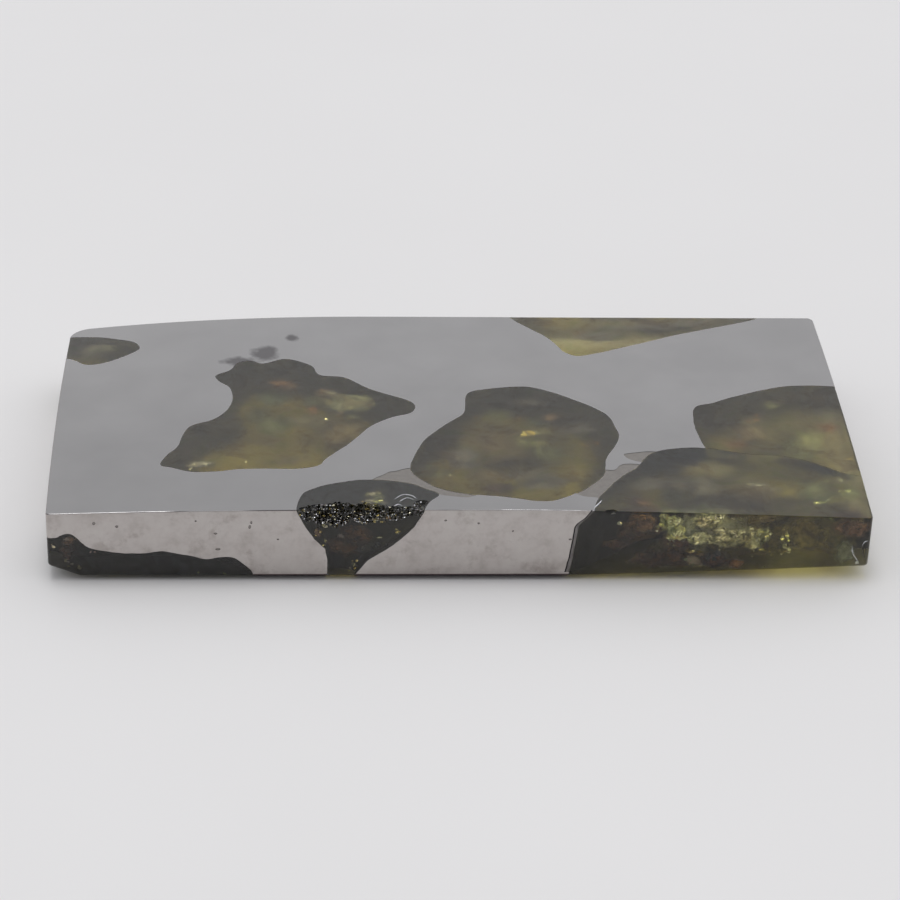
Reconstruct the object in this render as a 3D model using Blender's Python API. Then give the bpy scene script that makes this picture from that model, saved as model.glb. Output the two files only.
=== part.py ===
"""A polished slice of pallasite: one body of iron-nickel with eight olivine crystals set through it.

The slice lies flat. X runs along its length, -Y is out of its long cut face, and Z = 0 is the plane it
rests on. The origin is under the middle of the slice. Lengths are in millimetres, and angles in degrees.
"""

from math import cos, pi, radians, sin
from random import Random

import bmesh
import bpy
from mathutils import Vector

MM = 0.001  # metres in a millimetre
MERGE = 0.001  # points closer than this are one point

# The slice as a whole
LENGTH = 36.2  # from tip to tip of the bowed ends
WIDTH = 18.0
HEIGHT = 3.6  # from the resting plane to the crown of the top face
END_BOW = 0.1  # how far each end swells past its corners
END_POINTS = (-6.0, -3.0, 0.0, 3.0, 6.0)  # where a bowed end has points between its corners
ARRIS = 0.06  # the small flat that polishing leaves on every edge
CORNER_RADII = {"front left": 0.15, "front right": 0.2, "back right": 0.3, "back left": 0.9}
ARC_STEPS = 4
FLAT_ANGLE = 0.1  # faces that meet at less than this are one flat face

# Lapping rounds both faces off. Each fall or rise starts at a line, reaches its depth at the slice's
# edge, and grows with a power of the distance between the two.
LEFT_FALL_FROM, LEFT_FALL_FRONT, LEFT_FALL_BACK, LEFT_FALL_POWER = -3.0, 0.24, 0.84, 2.2
RIGHT_FALL_FROM, RIGHT_FALL_FRONT, RIGHT_FALL_POWER = 2.0, 0.44, 1.5
RIGHT_RISE_FROM, RIGHT_RISE, RIGHT_RISE_POWER = 5.0, 0.48, 1.2
EDGE_RISE_FROM, EDGE_RISE, EDGE_RISE_POWER = 5.8, 0.2, 1.5  # under the two long edges
WORN_FROM, WORN_RISE = -16.6, 0.6  # the worn corner under the front left
X_LINES = [-17.6, -17.1, -16.6] + list(range(-15, 18, 2))  # where both faces may bend
Y_LINES = [-7.4, -5.8, -3.0, 0.0, 3.0, 5.8, 7.4]

# A crystal keeps this far from the wall of its pocket
GAP = 0.3
BEYOND = 0.6  # how far a pocket's shape runs past the faces that cut it

SPAN_STEPS = 2  # straight pieces between two points of an outline
PART_COLLECTION = "pallasite_slice"
CUT_COLLECTION = "cutting_shapes"

METAL_COLOUR, METAL_ROUGHNESS = (0.45, 0.44, 0.44), 0.15
OLIVINE_COLOUR, OLIVINE_ROUGHNESS, OLIVINE_IOR = (0.36, 0.36, 0.14), 0.05, 1.67
METAL_SHARP, OLIVINE_SHARP = 25, 35  # faces that meet at more than this look sharp

# Outlines on the top face, anticlockwise seen from above. Where an edge of the slice cuts a crystal, its
# outline runs on past that edge.
BACK_LEFT = [
    (-19.2, 6.3), (-17.9, 5.7), (-17.1, 5.0), (-16.1, 5.2), (-15.2, 5.9), (-14.8, 6.4),
    (-15.2, 7.1), (-16.2, 7.6), (-17.6, 8.0), (-19.2, 7.9),
]
LEFT = [
    (-13.3, -5.0), (-12.8, -5.3), (-11.9, -5.7), (-10.8, -5.7), (-9.7, -5.5), (-8.3, -5.5),
    (-7.0, -5.5), (-6.2, -5.2), (-5.9, -4.6), (-4.8, -3.2), (-3.9, -1.8), (-2.9, -0.9),
    (-1.9, -0.4), (-1.9, 0.6), (-3.8, 1.8), (-4.9, 2.9), (-6.1, 3.2), (-6.5, 4.1),
    (-7.7, 4.8), (-8.8, 4.4), (-9.4, 4.7), (-10.0, 4.5), (-10.4, 3.8), (-11.0, 3.3),
    (-10.8, 2.7), (-10.3, 2.0), (-10.2, 0.8), (-10.5, -0.3), (-11.1, -1.0), (-12.0, -1.5),
    (-12.4, -2.4), (-12.6, -3.4), (-13.0, -4.1),
]
CENTRE = [
    (-2.1, -5.6), (-1.8, -6.3), (-0.9, -7.2), (0.4, -7.7), (2.1, -8.0), (3.6, -8.3),
    (4.7, -7.9), (5.9, -6.8), (6.5, -5.9), (6.7, -4.6), (7.2, -3.5), (7.5, -2.6),
    (7.4, -1.7), (7.1, -0.6), (6.3, 0.3), (5.0, 1.3), (3.7, 2.0), (2.3, 1.9),
    (1.1, 1.6), (0.7, 1.1), (0.6, 0.0), (0.4, -0.7), (-0.4, -1.6), (-1.4, -3.0),
    (-2.0, -4.7),
]
FRONT_CENTRE = [
    (-7.1, -10.3), (-4.4, -10.4), (-1.8, -10.3), (-1.7, -9.1), (-1.4, -8.3), (-1.0, -7.7),
    (-1.6, -7.2), (-2.2, -6.8), (-3.5, -6.5), (-4.6, -6.5), (-5.7, -6.8), (-6.7, -7.3),
    (-7.1, -7.9), (-7.3, -9.0),
]
FRONT_RIGHT = [
    (5.9, -10.4), (12.0, -10.6), (19.6, -10.4), (19.8, -8.0), (19.6, -6.0), (18.2, -5.5),
    (17.4, -5.2), (16.1, -4.4), (15.0, -4.0), (13.5, -3.9), (12.2, -3.6), (11.1, -3.4),
    (9.8, -3.6), (9.0, -4.0), (8.4, -4.8), (8.1, -5.3), (7.4, -6.1), (6.7, -7.1),
    (6.1, -8.1), (5.9, -9.0),
]
RIGHT = [
    (12.0, -5.0), (16.0, -6.6), (19.6, -6.6), (19.9, -2.0), (19.6, 2.2), (18.0, 2.4),
    (16.0, 2.4), (14.7, 2.0), (13.5, 1.5), (12.1, 0.7), (11.2, 0.3), (11.0, -0.7),
    (11.0, -1.8), (11.2, -3.3),
]
BACK = [
    (6.1, 5.1), (7.1, 5.4), (8.9, 6.2), (11.2, 7.3), (13.6, 8.2), (15.6, 9.1),
    (16.5, 10.4), (9.4, 10.6), (2.4, 10.4), (3.2, 8.8), (4.0, 7.8), (4.7, 7.0),
    (5.2, 6.2), (5.5, 5.5),
]
# The front left crystal lies low, so its outline is the one on the front face, as x and z
FRONT_LEFT_PROFILE = [
    (-19.0, -0.6), (-13.5, -0.7), (-8.8, -0.6), (-9.0, 0.2), (-9.2, 0.6), (-9.6, 1.0),
    (-10.0, 1.2), (-10.5, 1.2), (-11.1, 1.1), (-11.9, 1.3), (-12.9, 1.5), (-13.7, 1.4),
    (-14.6, 1.4), (-15.4, 1.5), (-15.9, 1.6), (-16.3, 1.8), (-16.8, 2.3), (-17.1, 2.4),
    (-17.4, 2.3), (-17.6, 2.2), (-18.1, 2.2), (-19.0, 2.1),
]

# How each outline changes with height: (height, stretch along X and along Y, shift in X and in Y)
TOP, MIDDLE, BOTTOM = HEIGHT + BEYOND, HEIGHT / 2, -BEYOND
SECTIONS = {
    "olivine_back_left": [
        (TOP, 1, 1, 0, 0), (MIDDLE, 1.1, 1.1, 0.3, 0), (BOTTOM, 0.8, 0.8, 0, -0.2),
    ],
    "olivine_left": [
        (TOP, 1, 1, 0, 0), (MIDDLE, 0.97, 0.95, 0.2, -0.1), (BOTTOM, 0.82, 0.78, 0.6, -0.4),
    ],
    "olivine_centre": [
        (TOP, 1, 1, 0, 0), (MIDDLE, 0.98, 0.98, -0.2, 0.1), (BOTTOM, 0.8, 0.84, -0.5, 0.3),
    ],
    "olivine_right": [
        (TOP, 1, 1, 0, 0), (MIDDLE, 1.03, 1.03, 0.2, -0.1), (BOTTOM, 0.95, 0.95, 0.7, -0.4),
    ],
    "olivine_back": [
        (TOP, 1, 1, 0, 0), (MIDDLE, 1, 1.08, 0.2, 0), (BOTTOM, 0.86, 1.2, 0.4, 0),
    ],
}
# The front centre crystal narrows downwards: (height, its left wall, its right wall) on the front face
FRONT_CENTRE_WALLS = [
    (TOP, -7.4, -1.7), (3.5, -7.3, -1.7), (2.7, -6.9, -2.1), (2.1, -6.5, -2.7), (1.6, -6.0, -3.3),
    (1.0, -5.9, -4.1), (0.2, -5.9, -4.7), (BOTTOM, -5.9, -4.7),
]
FRONT_CENTRE_DEPTHS = [1.0, 1.0, 0.98, 0.92, 0.84, 0.76, 0.68, 0.6]  # its reach behind that face
# The left wall of the front right crystal leans out downwards: (height, shift in X)
FRONT_RIGHT_SHIFTS = [
    (TOP, 0.0), (3.5, -0.2), (2.8, -0.8), (2.1, -0.9), (1.2, -1.0), (BOTTOM, -1.3),
]
# The front left crystal thins towards the back: (y, share of its height, share of its length)
FRONT_LEFT_SLICES = [(-9.6, 1.0, 1.0), (-8.0, 0.97, 0.98), (-6.6, 0.8, 0.9), (-5.4, 0.5, 0.72)]

# The front edge of the front centre crystal has crumbled away in small grains
CRUMBLE_FROM, CRUMBLE_TO = -6.9, -1.6
CRUMBLE_STEPS, CRUMBLE_SIDES = 32, 8
CRUMBLE_RADII = (0.12, 0.55)
CRUMBLE_END_SHARE = 0.35  # its size at the two ends as a share of that at the middle
CRUMBLE_BREADTH = 1.5  # its breadth on the top face as a share of its depth
CRUMBLE_SEED = 4
# Chips, each a small faceted bite out of an edge: (crystal, centre, radius)
CHIPS = [
    ("olivine_front_right", (18.35, -9.2, 1.0), 0.8),
    ("olivine_front_right", (18.5, -8.9, 1.9), 0.6),
    ("olivine_front_right", (6.5, -9.25, 3.75), 0.5),
    ("olivine_front_centre", (-1.75, -8.5, 3.75), 0.4),
]


def clear_scene():
    for thing in list(bpy.data.objects):
        bpy.data.objects.remove(thing, do_unlink=True)


def new_collection(name):
    group = bpy.data.collections.new(name)
    bpy.context.scene.collection.children.link(group)
    return group


def new_object(name, mesh, group):
    thing = bpy.data.objects.new(name, mesh)
    group.objects.link(thing)
    return thing


def as_cutter(thing):
    thing.hide_render = True
    thing.display_type = "WIRE"
    return thing


def material(name, colour, roughness, metallic=0.0, transmission=0.0, ior=1.5):
    look = bpy.data.materials.new(name)
    look.use_nodes = True
    shader = look.node_tree.nodes["Principled BSDF"]
    shader.inputs["Base Color"].default_value = (*colour, 1.0)
    shader.inputs["Roughness"].default_value = roughness
    shader.inputs["Metallic"].default_value = metallic
    shader.inputs["Transmission Weight"].default_value = transmission
    shader.inputs["IOR"].default_value = ior
    return look


def finish_mesh(shape, name):
    """The mesh of a closed shape drawn in millimetres, with its faces turned outwards."""
    bmesh.ops.triangulate(shape, faces=shape.faces)
    bmesh.ops.recalc_face_normals(shape, faces=shape.faces)
    bmesh.ops.scale(shape, vec=(MM, MM, MM), verts=shape.verts)
    mesh = bpy.data.meshes.new(name)
    shape.to_mesh(mesh)
    shape.free()
    return mesh


def share(value, start, end):
    """0 at start, 1 at end, and level beyond both."""
    return min(max((value - start) / (end - start), 0.0), 1.0)


def top_fall(x, y):
    """How far the top face lies below its crown."""
    back = share(y, -WIDTH / 2, WIDTH / 2)
    left = share(x, LEFT_FALL_FROM, -LENGTH / 2) ** LEFT_FALL_POWER
    right = share(x, RIGHT_FALL_FROM, LENGTH / 2) ** RIGHT_FALL_POWER
    left_depth = LEFT_FALL_FRONT + (LEFT_FALL_BACK - LEFT_FALL_FRONT) * back**2
    return left * left_depth + right * RIGHT_FALL_FRONT * (1 - back)


def bottom_rise(x, y):
    """How far the underside lies above the resting plane."""
    right = share(x, RIGHT_RISE_FROM, LENGTH / 2) ** RIGHT_RISE_POWER * RIGHT_RISE
    edge = share(abs(y), EDGE_RISE_FROM, WIDTH / 2) ** EDGE_RISE_POWER * EDGE_RISE
    front = share(-y, 0.0, WIDTH / 2)
    worn = share(x, WORN_FROM, -LENGTH / 2) * WORN_RISE * front
    return right + edge + worn


def plan_outline():
    """The slice seen from above: a rectangle with four rounded corners and two bowed ends."""
    half_x, half_y = LENGTH / 2 - END_BOW, WIDTH / 2
    corners = [
        ("front left", -1, -1, pi), ("front right", 1, -1, 1.5 * pi),
        ("back right", 1, 1, 0.0), ("back left", -1, 1, 0.5 * pi),
    ]
    points = []
    for name, x_side, y_side, start in corners:
        radius = CORNER_RADII[name]
        middle_x, middle_y = x_side * (half_x - radius), y_side * (half_y - radius)
        for step in range(ARC_STEPS + 1):
            angle = start + step * pi / 2 / ARC_STEPS
            points.append((middle_x + radius * cos(angle), middle_y + radius * sin(angle)))
        if x_side * y_side < 0:  # the end that follows this corner
            points += [(x_side * half_x, x_side * y) for y in END_POINTS]
    bow = [END_BOW * (1 - (y / half_y) ** 2) for _, y in points]
    return [(x + (b if x > 0 else -b), y) for (x, y), b in zip(points, bow)]


def slice_mesh():
    """The whole slice before its pockets are cut: a flat prism whose two faces are then rounded off."""
    curve = bpy.data.curves.new("slice_outline", "CURVE")
    curve.dimensions = "2D"
    curve.fill_mode = "BOTH"
    curve.extrude = HEIGHT / 2 - ARRIS
    curve.bevel_depth = ARRIS
    curve.bevel_resolution = 0
    curve.offset = -ARRIS
    outline = plan_outline()
    spline = curve.splines.new("POLY")
    spline.points.add(len(outline) - 1)
    for point, (x, y) in zip(spline.points, outline):
        point.co = (x, y, 0.0, 1.0)
    spline.use_cyclic_u = True
    flat = bpy.data.objects.new("slice_outline", curve)
    bpy.context.scene.collection.objects.link(flat)
    depsgraph = bpy.context.evaluated_depsgraph_get()
    shape = bmesh.new()
    shape.from_mesh(bpy.data.meshes.new_from_object(flat.evaluated_get(depsgraph)))
    bpy.data.objects.remove(flat, do_unlink=True)
    bmesh.ops.remove_doubles(shape, verts=shape.verts, dist=MERGE)
    bmesh.ops.dissolve_limit(
        shape, angle_limit=radians(FLAT_ANGLE), verts=shape.verts, edges=shape.edges
    )
    lines = [(Vector((x, 0, 0)), Vector((1, 0, 0))) for x in X_LINES]
    lines += [(Vector((0, y, 0)), Vector((0, 1, 0))) for y in Y_LINES]
    for place, across in lines:
        everything = shape.verts[:] + shape.edges[:] + shape.faces[:]
        bmesh.ops.bisect_plane(
            shape, geom=everything, plane_co=place, plane_no=across, dist=MERGE
        )
    for vertex in shape.verts:
        x, y, z = vertex.co
        z += HEIGHT / 2
        vertex.co.z = z - top_fall(x, y) if z > HEIGHT / 2 else z + bottom_rise(x, y)
    return finish_mesh(shape, "slice")


def smooth_ring(points):
    """A smooth closed line through the points, as short straight pieces (a Catmull-Rom curve)."""
    ring = []
    count = len(points)
    for i in range(count):
        before, start, end, after = (Vector(points[(i + k) % count]) for k in (-1, 0, 1, 2))
        for step in range(SPAN_STEPS):
            t = step / SPAN_STEPS
            ring.append(
                start
                + (end - before) * (t / 2)
                + (before * 2 - start * 5 + end * 4 - after) * (t * t / 2)
                + (start * 3 - before - end * 3 + after) * (t**3 / 2)
            )
    return ring


def centre_of(ring):
    return sum(ring, Vector((0.0, 0.0))) / len(ring)


def sections_of(name, outline):
    """Rings of one crystal from top to bottom, each its outline stretched and shifted."""
    flat = smooth_ring(outline)
    middle = centre_of(flat)
    rings = []
    for height, stretch_x, stretch_y, shift_x, shift_y in SECTIONS[name]:
        rings.append([
            Vector((
                middle.x + (p.x - middle.x) * stretch_x + shift_x,
                middle.y + (p.y - middle.y) * stretch_y + shift_y,
                height,
            ))
            for p in flat
        ])
    return rings


def front_centre_rings():
    """Each ring is the outline drawn in between the two walls at that height."""
    flat = smooth_ring(FRONT_CENTRE)
    _, top_left, top_right = FRONT_CENTRE_WALLS[0]
    front = -WIDTH / 2
    rings = []
    for (height, left, right), depth in zip(FRONT_CENTRE_WALLS, FRONT_CENTRE_DEPTHS):
        narrowed = (right - left) / (top_right - top_left)
        rings.append([
            Vector((left + (p.x - top_left) * narrowed, front + (p.y - front) * depth, height))
            for p in flat
        ])
    return rings


def front_right_rings():
    flat = smooth_ring(FRONT_RIGHT)
    return [
        [Vector((p.x + shift, p.y, height)) for p in flat] for height, shift in FRONT_RIGHT_SHIFTS
    ]


def front_left_rings():
    """Rings from the front face backwards."""
    flat = smooth_ring(FRONT_LEFT_PROFILE)
    left, bottom = FRONT_LEFT_PROFILE[0]
    return [
        [Vector((left + (p.x - left) * long, y, bottom + (p.y - bottom) * tall)) for p in flat]
        for y, tall, long in FRONT_LEFT_SLICES
    ]


def crystal_rings():
    """Each crystal's name and its rings."""
    return {
        "olivine_back_left": sections_of("olivine_back_left", BACK_LEFT),
        "olivine_left": sections_of("olivine_left", LEFT),
        "olivine_centre": sections_of("olivine_centre", CENTRE),
        "olivine_front_centre": front_centre_rings(),
        "olivine_front_right": front_right_rings(),
        "olivine_right": sections_of("olivine_right", RIGHT),
        "olivine_back": sections_of("olivine_back", BACK),
        "olivine_front_left": front_left_rings(),
    }


def skin(shape, rings):
    """Walls between neighbouring rings, and a cap at each end."""
    rows = [[shape.verts.new(point) for point in ring] for ring in rings]
    count = len(rows[0])
    for row, ahead in zip(rows, rows[1:]):
        for i in range(count):
            j = (i + 1) % count
            shape.faces.new((row[i], row[j], ahead[j], ahead[i]))
    shape.faces.new(rows[0])
    shape.faces.new(rows[-1])


def loft_mesh(name, rings, inset=0.0):
    """A closed body through the rings, drawn in along its own normals by the inset."""
    shape = bmesh.new()
    skin(shape, rings)
    bmesh.ops.recalc_face_normals(shape, faces=shape.faces)
    moves = [vertex.normal * inset for vertex in shape.verts]
    for vertex, move in zip(shape.verts, moves):
        vertex.co -= move
    return finish_mesh(shape, name)


def crumble_mesh():
    """An uneven rod along the front edge, which leaves a line of small pits where it is cut away."""
    chance = Random(CRUMBLE_SEED)
    rings = []
    for step in range(CRUMBLE_STEPS + 1):
        along = step / CRUMBLE_STEPS
        swell = CRUMBLE_END_SHARE + (1 - CRUMBLE_END_SHARE) * sin(pi * along)
        ring = []
        for side in range(CRUMBLE_SIDES):
            angle = 2 * pi * side / CRUMBLE_SIDES
            radius = chance.uniform(*CRUMBLE_RADII) * swell
            ring.append(Vector((
                CRUMBLE_FROM + (CRUMBLE_TO - CRUMBLE_FROM) * along,
                -WIDTH / 2 + radius * cos(angle) * CRUMBLE_BREADTH,
                HEIGHT + radius * sin(angle),
            )))
        rings.append(ring)
    shape = bmesh.new()
    skin(shape, rings)
    return finish_mesh(shape, "crumbled_edge")


def chip_mesh(centre, radius):
    shape = bmesh.new()
    bmesh.ops.create_icosphere(shape, subdivisions=1, radius=radius)
    bmesh.ops.translate(shape, vec=centre, verts=shape.verts)
    return finish_mesh(shape, "chip")


def cut(thing, tool, how="DIFFERENCE"):
    step = thing.modifiers.new(f"{how.lower()}_{tool.name}", "BOOLEAN")
    step.operation = how
    step.solver = "EXACT"
    step.object = tool


def shade(thing, angle):
    """Smooth within each face, sharp where two faces meet at more than the angle."""
    thing.data.shade_smooth()
    thing.data.set_sharp_from_angle(angle=radians(angle))


def build():
    clear_scene()
    parts = new_collection(PART_COLLECTION)
    tools = new_collection(CUT_COLLECTION)
    metal = material("iron_nickel", METAL_COLOUR, METAL_ROUGHNESS, metallic=1.0)
    olivine = material(
        "olivine", OLIVINE_COLOUR, OLIVINE_ROUGHNESS, transmission=1.0, ior=OLIVINE_IOR
    )

    blank = as_cutter(new_object("whole_slice", slice_mesh(), tools))
    matrix = new_object("metal_matrix", slice_mesh(), parts)
    matrix.data.materials.append(metal)
    shade(matrix, METAL_SHARP)

    pockets, crystals = {}, {}
    for name, rings in crystal_rings().items():
        pocket = new_object(f"pocket_{name}", loft_mesh(f"pocket_{name}", rings), tools)
        pockets[name] = as_cutter(pocket)
        cut(matrix, pocket)
        crystal = new_object(name, loft_mesh(name, rings, inset=GAP), parts)
        crystal.data.materials.append(olivine)
        shade(crystal, OLIVINE_SHARP)
        cut(crystal, blank, "INTERSECT")
        crystals[name] = crystal

    # The right crystal grew against the front right one, whose pocket it stops at
    cut(crystals["olivine_right"], pockets["olivine_front_right"])

    crumble = as_cutter(new_object("crumbled_edge", crumble_mesh(), tools))
    cut(crystals["olivine_front_centre"], crumble)
    for number, (name, centre, radius) in enumerate(CHIPS):
        chip = as_cutter(new_object(f"chip_{number}", chip_mesh(centre, radius), tools))
        cut(crystals[name], chip)


build()
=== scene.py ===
"""The looks of the pallasite slice: polished iron-nickel with see-through olivine set through it.

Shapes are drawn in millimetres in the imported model's own frame, and made metres as they become meshes.
X runs along the slice, -Y is out of its long cut face, and Z = 0 is the plane it rests on.
"""

from math import cos, pi, radians, sin, sqrt
from random import Random

import bmesh
import bpy
from mathutils import Matrix, Vector, noise
from mathutils.bvhtree import BVHTree


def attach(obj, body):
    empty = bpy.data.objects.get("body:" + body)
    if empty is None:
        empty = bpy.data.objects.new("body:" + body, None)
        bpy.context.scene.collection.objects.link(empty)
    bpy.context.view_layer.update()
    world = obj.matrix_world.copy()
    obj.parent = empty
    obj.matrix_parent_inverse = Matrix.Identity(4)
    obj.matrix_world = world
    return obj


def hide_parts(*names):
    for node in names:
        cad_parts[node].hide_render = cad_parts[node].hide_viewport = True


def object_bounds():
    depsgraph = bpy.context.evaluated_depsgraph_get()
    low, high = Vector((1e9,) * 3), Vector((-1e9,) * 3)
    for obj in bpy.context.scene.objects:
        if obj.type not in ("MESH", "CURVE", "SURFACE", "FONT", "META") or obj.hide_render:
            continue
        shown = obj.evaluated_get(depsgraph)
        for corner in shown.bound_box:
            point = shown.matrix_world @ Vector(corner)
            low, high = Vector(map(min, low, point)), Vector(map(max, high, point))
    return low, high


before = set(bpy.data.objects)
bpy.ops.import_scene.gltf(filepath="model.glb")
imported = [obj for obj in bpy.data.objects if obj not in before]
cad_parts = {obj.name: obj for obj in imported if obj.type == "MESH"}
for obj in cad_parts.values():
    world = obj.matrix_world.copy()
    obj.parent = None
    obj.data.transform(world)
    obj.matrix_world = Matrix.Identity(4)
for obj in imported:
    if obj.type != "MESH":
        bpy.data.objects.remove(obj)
CAD_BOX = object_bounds()

MM = 0.001  # metres in a millimetre
MERGE = 0.001  # points closer than this are one point
LENGTH, WIDTH, HEIGHT = (CAD_BOX[1] - CAD_BOX[0]) / MM
FRONT = -WIDTH / 2
BODY = "root"
METAL_SLOT, CRYSTAL_SLOT = "iron_nickel", "olivine"

# The slice as a whole: the form that the solids have, more finely drawn
END_BOW = 0.1  # how far each end swells past its corners
END_POINTS = (-6.0, -3.0, 0.0, 3.0, 6.0)  # where a bowed end has points between its corners
ARRIS, ARRIS_BELOW = 0.045, 0.13  # the rounding of the upper edges and of the lower ones
ARRIS_STEPS = 3
CORNER_RADII = {"front left": 0.15, "front right": 0.2, "back right": 0.3, "back left": 0.9}
ARC_STEPS = 8

# Lapping rounds both faces off. Each fall or rise starts at a line, reaches its depth at the slice's
# edge, and grows with a power of the distance between the two.
LEFT_FALL_FROM, LEFT_FALL_FRONT, LEFT_FALL_BACK, LEFT_FALL_POWER = -3.0, 0.24, 0.84, 2.2
RIGHT_FALL_FROM, RIGHT_FALL_FRONT, RIGHT_FALL_POWER = 2.0, 0.44, 1.5
RIGHT_RISE_FROM, RIGHT_RISE, RIGHT_RISE_POWER = 5.0, 0.48, 1.2
EDGE_RISE_FROM, EDGE_RISE, EDGE_RISE_POWER = 5.8, 0.2, 1.5  # under the two long edges
WORN_FROM, WORN_RISE = -16.6, 0.6  # the worn corner under the front left
X_LINES = [-17.6, -17.1, -16.6] + list(range(-16, 18))  # where both faces may bend
Y_LINES = [-8.2, -7.4, -6.6, -5.8, -4.5, -3.0, -1.5, 0.0, 1.5, 3.0, 4.5, 5.8, 6.6, 7.4, 8.2]

# How finely the pockets and the crystals are drawn, and how uneven their walls are
SPAN_STEPS = 6  # straight pieces between two points of an outline
SOLID_STEPS = 2  # the same in the solids, from which the middle of an outline is taken
ROW_HEIGHT = 0.25
WAVINESS = [(0.9, 0.045), (3.1, 0.018), (9.0, 0.007)]  # (waves to the millimetre, depth)
ELSEWHERE = Vector((5.0, 5.0, 5.0))  # added to a place, for a second noise there
BEYOND = 0.6  # how far a cutter runs past the face that it cuts
TUCK = 0.03  # a crystal runs this far into the metal, so that the two touch all over
FLUSH = 0.006  # and its polished faces lie this far under the metal's
SEAM = 0.01  # between the two crystals that grew against each other

# Shading of the polished faces
SHARP = 30  # faces that meet at more than this look sharp
SLOPE_STEP = 0.05  # between the two points that a slope is taken from
POLISHED_NEAR, POLISHED_UPRIGHT = 0.03, 0.97  # which faces belong to the top face or the underside

# Outlines on the top face, anticlockwise seen from above
BACK_LEFT = [
    (-19.2, 6.3), (-17.9, 5.7), (-17.1, 5.0), (-16.1, 5.2), (-15.2, 5.9), (-14.8, 6.4),
    (-15.2, 7.1), (-16.2, 7.6), (-17.6, 8.0), (-19.2, 7.9),
]
LEFT = [
    (-13.3, -5.0), (-12.8, -5.3), (-11.9, -5.7), (-10.8, -5.7), (-9.7, -5.5), (-8.3, -5.5),
    (-7.0, -5.5), (-6.2, -5.2), (-5.9, -4.6), (-4.8, -3.2), (-3.9, -1.8), (-2.9, -0.9),
    (-1.9, -0.4), (-1.9, 0.6), (-3.8, 1.8), (-4.9, 2.9), (-6.1, 3.2), (-6.5, 4.1),
    (-7.7, 4.8), (-8.8, 4.4), (-9.4, 4.7), (-10.0, 4.5), (-10.4, 3.8), (-11.0, 3.3),
    (-10.8, 2.7), (-10.3, 2.0), (-10.2, 0.8), (-10.5, -0.3), (-11.1, -1.0), (-12.0, -1.5),
    (-12.4, -2.4), (-12.6, -3.4), (-13.0, -4.1),
]
CENTRE = [
    (-2.1, -5.6), (-1.8, -6.3), (-0.9, -7.2), (0.4, -7.7), (2.1, -8.0), (3.6, -8.3),
    (4.7, -7.9), (5.9, -6.8), (6.5, -5.9), (6.7, -4.6), (7.2, -3.5), (7.5, -2.6),
    (7.4, -1.7), (7.1, -0.6), (6.3, 0.3), (5.0, 1.3), (3.7, 2.0), (2.3, 1.9),
    (1.1, 1.6), (0.7, 1.1), (0.6, 0.0), (0.4, -0.7), (-0.4, -1.6), (-1.4, -3.0),
    (-2.0, -4.7),
]
FRONT_CENTRE = [
    (-7.1, -10.3), (-4.4, -10.4), (-1.8, -10.3), (-1.7, -9.1), (-1.4, -8.3), (-1.0, -7.7),
    (-1.6, -7.2), (-2.2, -6.8), (-3.5, -6.5), (-4.6, -6.5), (-5.7, -6.8), (-6.7, -7.3),
    (-7.1, -7.9), (-7.3, -9.0),
]
FRONT_RIGHT = [
    (5.9, -10.4), (12.0, -10.6), (19.6, -10.4), (19.8, -8.0), (19.6, -6.0), (18.2, -5.5),
    (17.4, -5.2), (16.1, -4.4), (15.0, -4.0), (13.5, -3.9), (12.2, -3.6), (11.1, -3.4),
    (9.8, -3.6), (9.0, -4.0), (8.4, -4.8), (8.1, -5.3), (7.4, -6.1), (6.7, -7.1),
    (6.1, -8.1), (5.9, -9.0),
]
RIGHT = [
    (12.0, -5.0), (16.0, -6.6), (19.6, -6.6), (19.9, -2.0), (19.6, 2.2), (18.0, 2.4),
    (16.0, 2.4), (14.7, 2.0), (13.5, 1.5), (12.1, 0.7), (11.2, 0.3), (11.0, -0.7),
    (11.0, -1.8), (11.2, -3.3),
]
BACK = [
    (6.1, 5.1), (7.1, 5.4), (8.9, 6.2), (11.2, 7.3), (13.6, 8.2), (15.6, 9.1),
    (16.5, 10.4), (9.4, 10.6), (2.4, 10.4), (3.2, 8.8), (4.0, 7.8), (4.7, 7.0),
    (5.2, 6.2), (5.5, 5.5),
]
# The front left crystal's outline on the front face, as x and z
FRONT_LEFT_PROFILE = [
    (-19.0, -0.6), (-13.5, -0.7), (-8.8, -0.6), (-9.0, 0.2), (-9.2, 0.6), (-9.6, 1.0),
    (-10.0, 1.2), (-10.5, 1.2), (-11.1, 1.1), (-11.9, 1.3), (-12.9, 1.5), (-13.7, 1.4),
    (-14.6, 1.4), (-15.4, 1.5), (-15.9, 1.6), (-16.3, 1.8), (-16.8, 2.3), (-17.1, 2.4),
    (-17.4, 2.3), (-17.6, 2.2), (-18.1, 2.2), (-19.0, 2.1),
]

# How each outline changes in the middle of the slice and below it: (stretch along X and along Y,
# shift in X and in Y)
TOP, MIDDLE, BOTTOM = HEIGHT + BEYOND, HEIGHT / 2, -BEYOND
UNCHANGED = (1, 1, 0, 0)
SECTIONS = {
    "olivine_back_left": (BACK_LEFT, (1.1, 1.1, 0.3, 0), (0.8, 0.8, 0, -0.2)),
    "olivine_left": (LEFT, (0.97, 0.95, 0.2, -0.1), (0.82, 0.78, 0.6, -0.4)),
    "olivine_centre": (CENTRE, (0.98, 0.98, -0.2, 0.1), (0.8, 0.84, -0.5, 0.3)),
    "olivine_right": (RIGHT, (1.03, 1.03, 0.2, -0.1), (0.95, 0.95, 0.7, -0.4)),
    "olivine_back": (BACK, (1, 1.08, 0.2, 0), (0.86, 1.2, 0.4, 0)),
}
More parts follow.
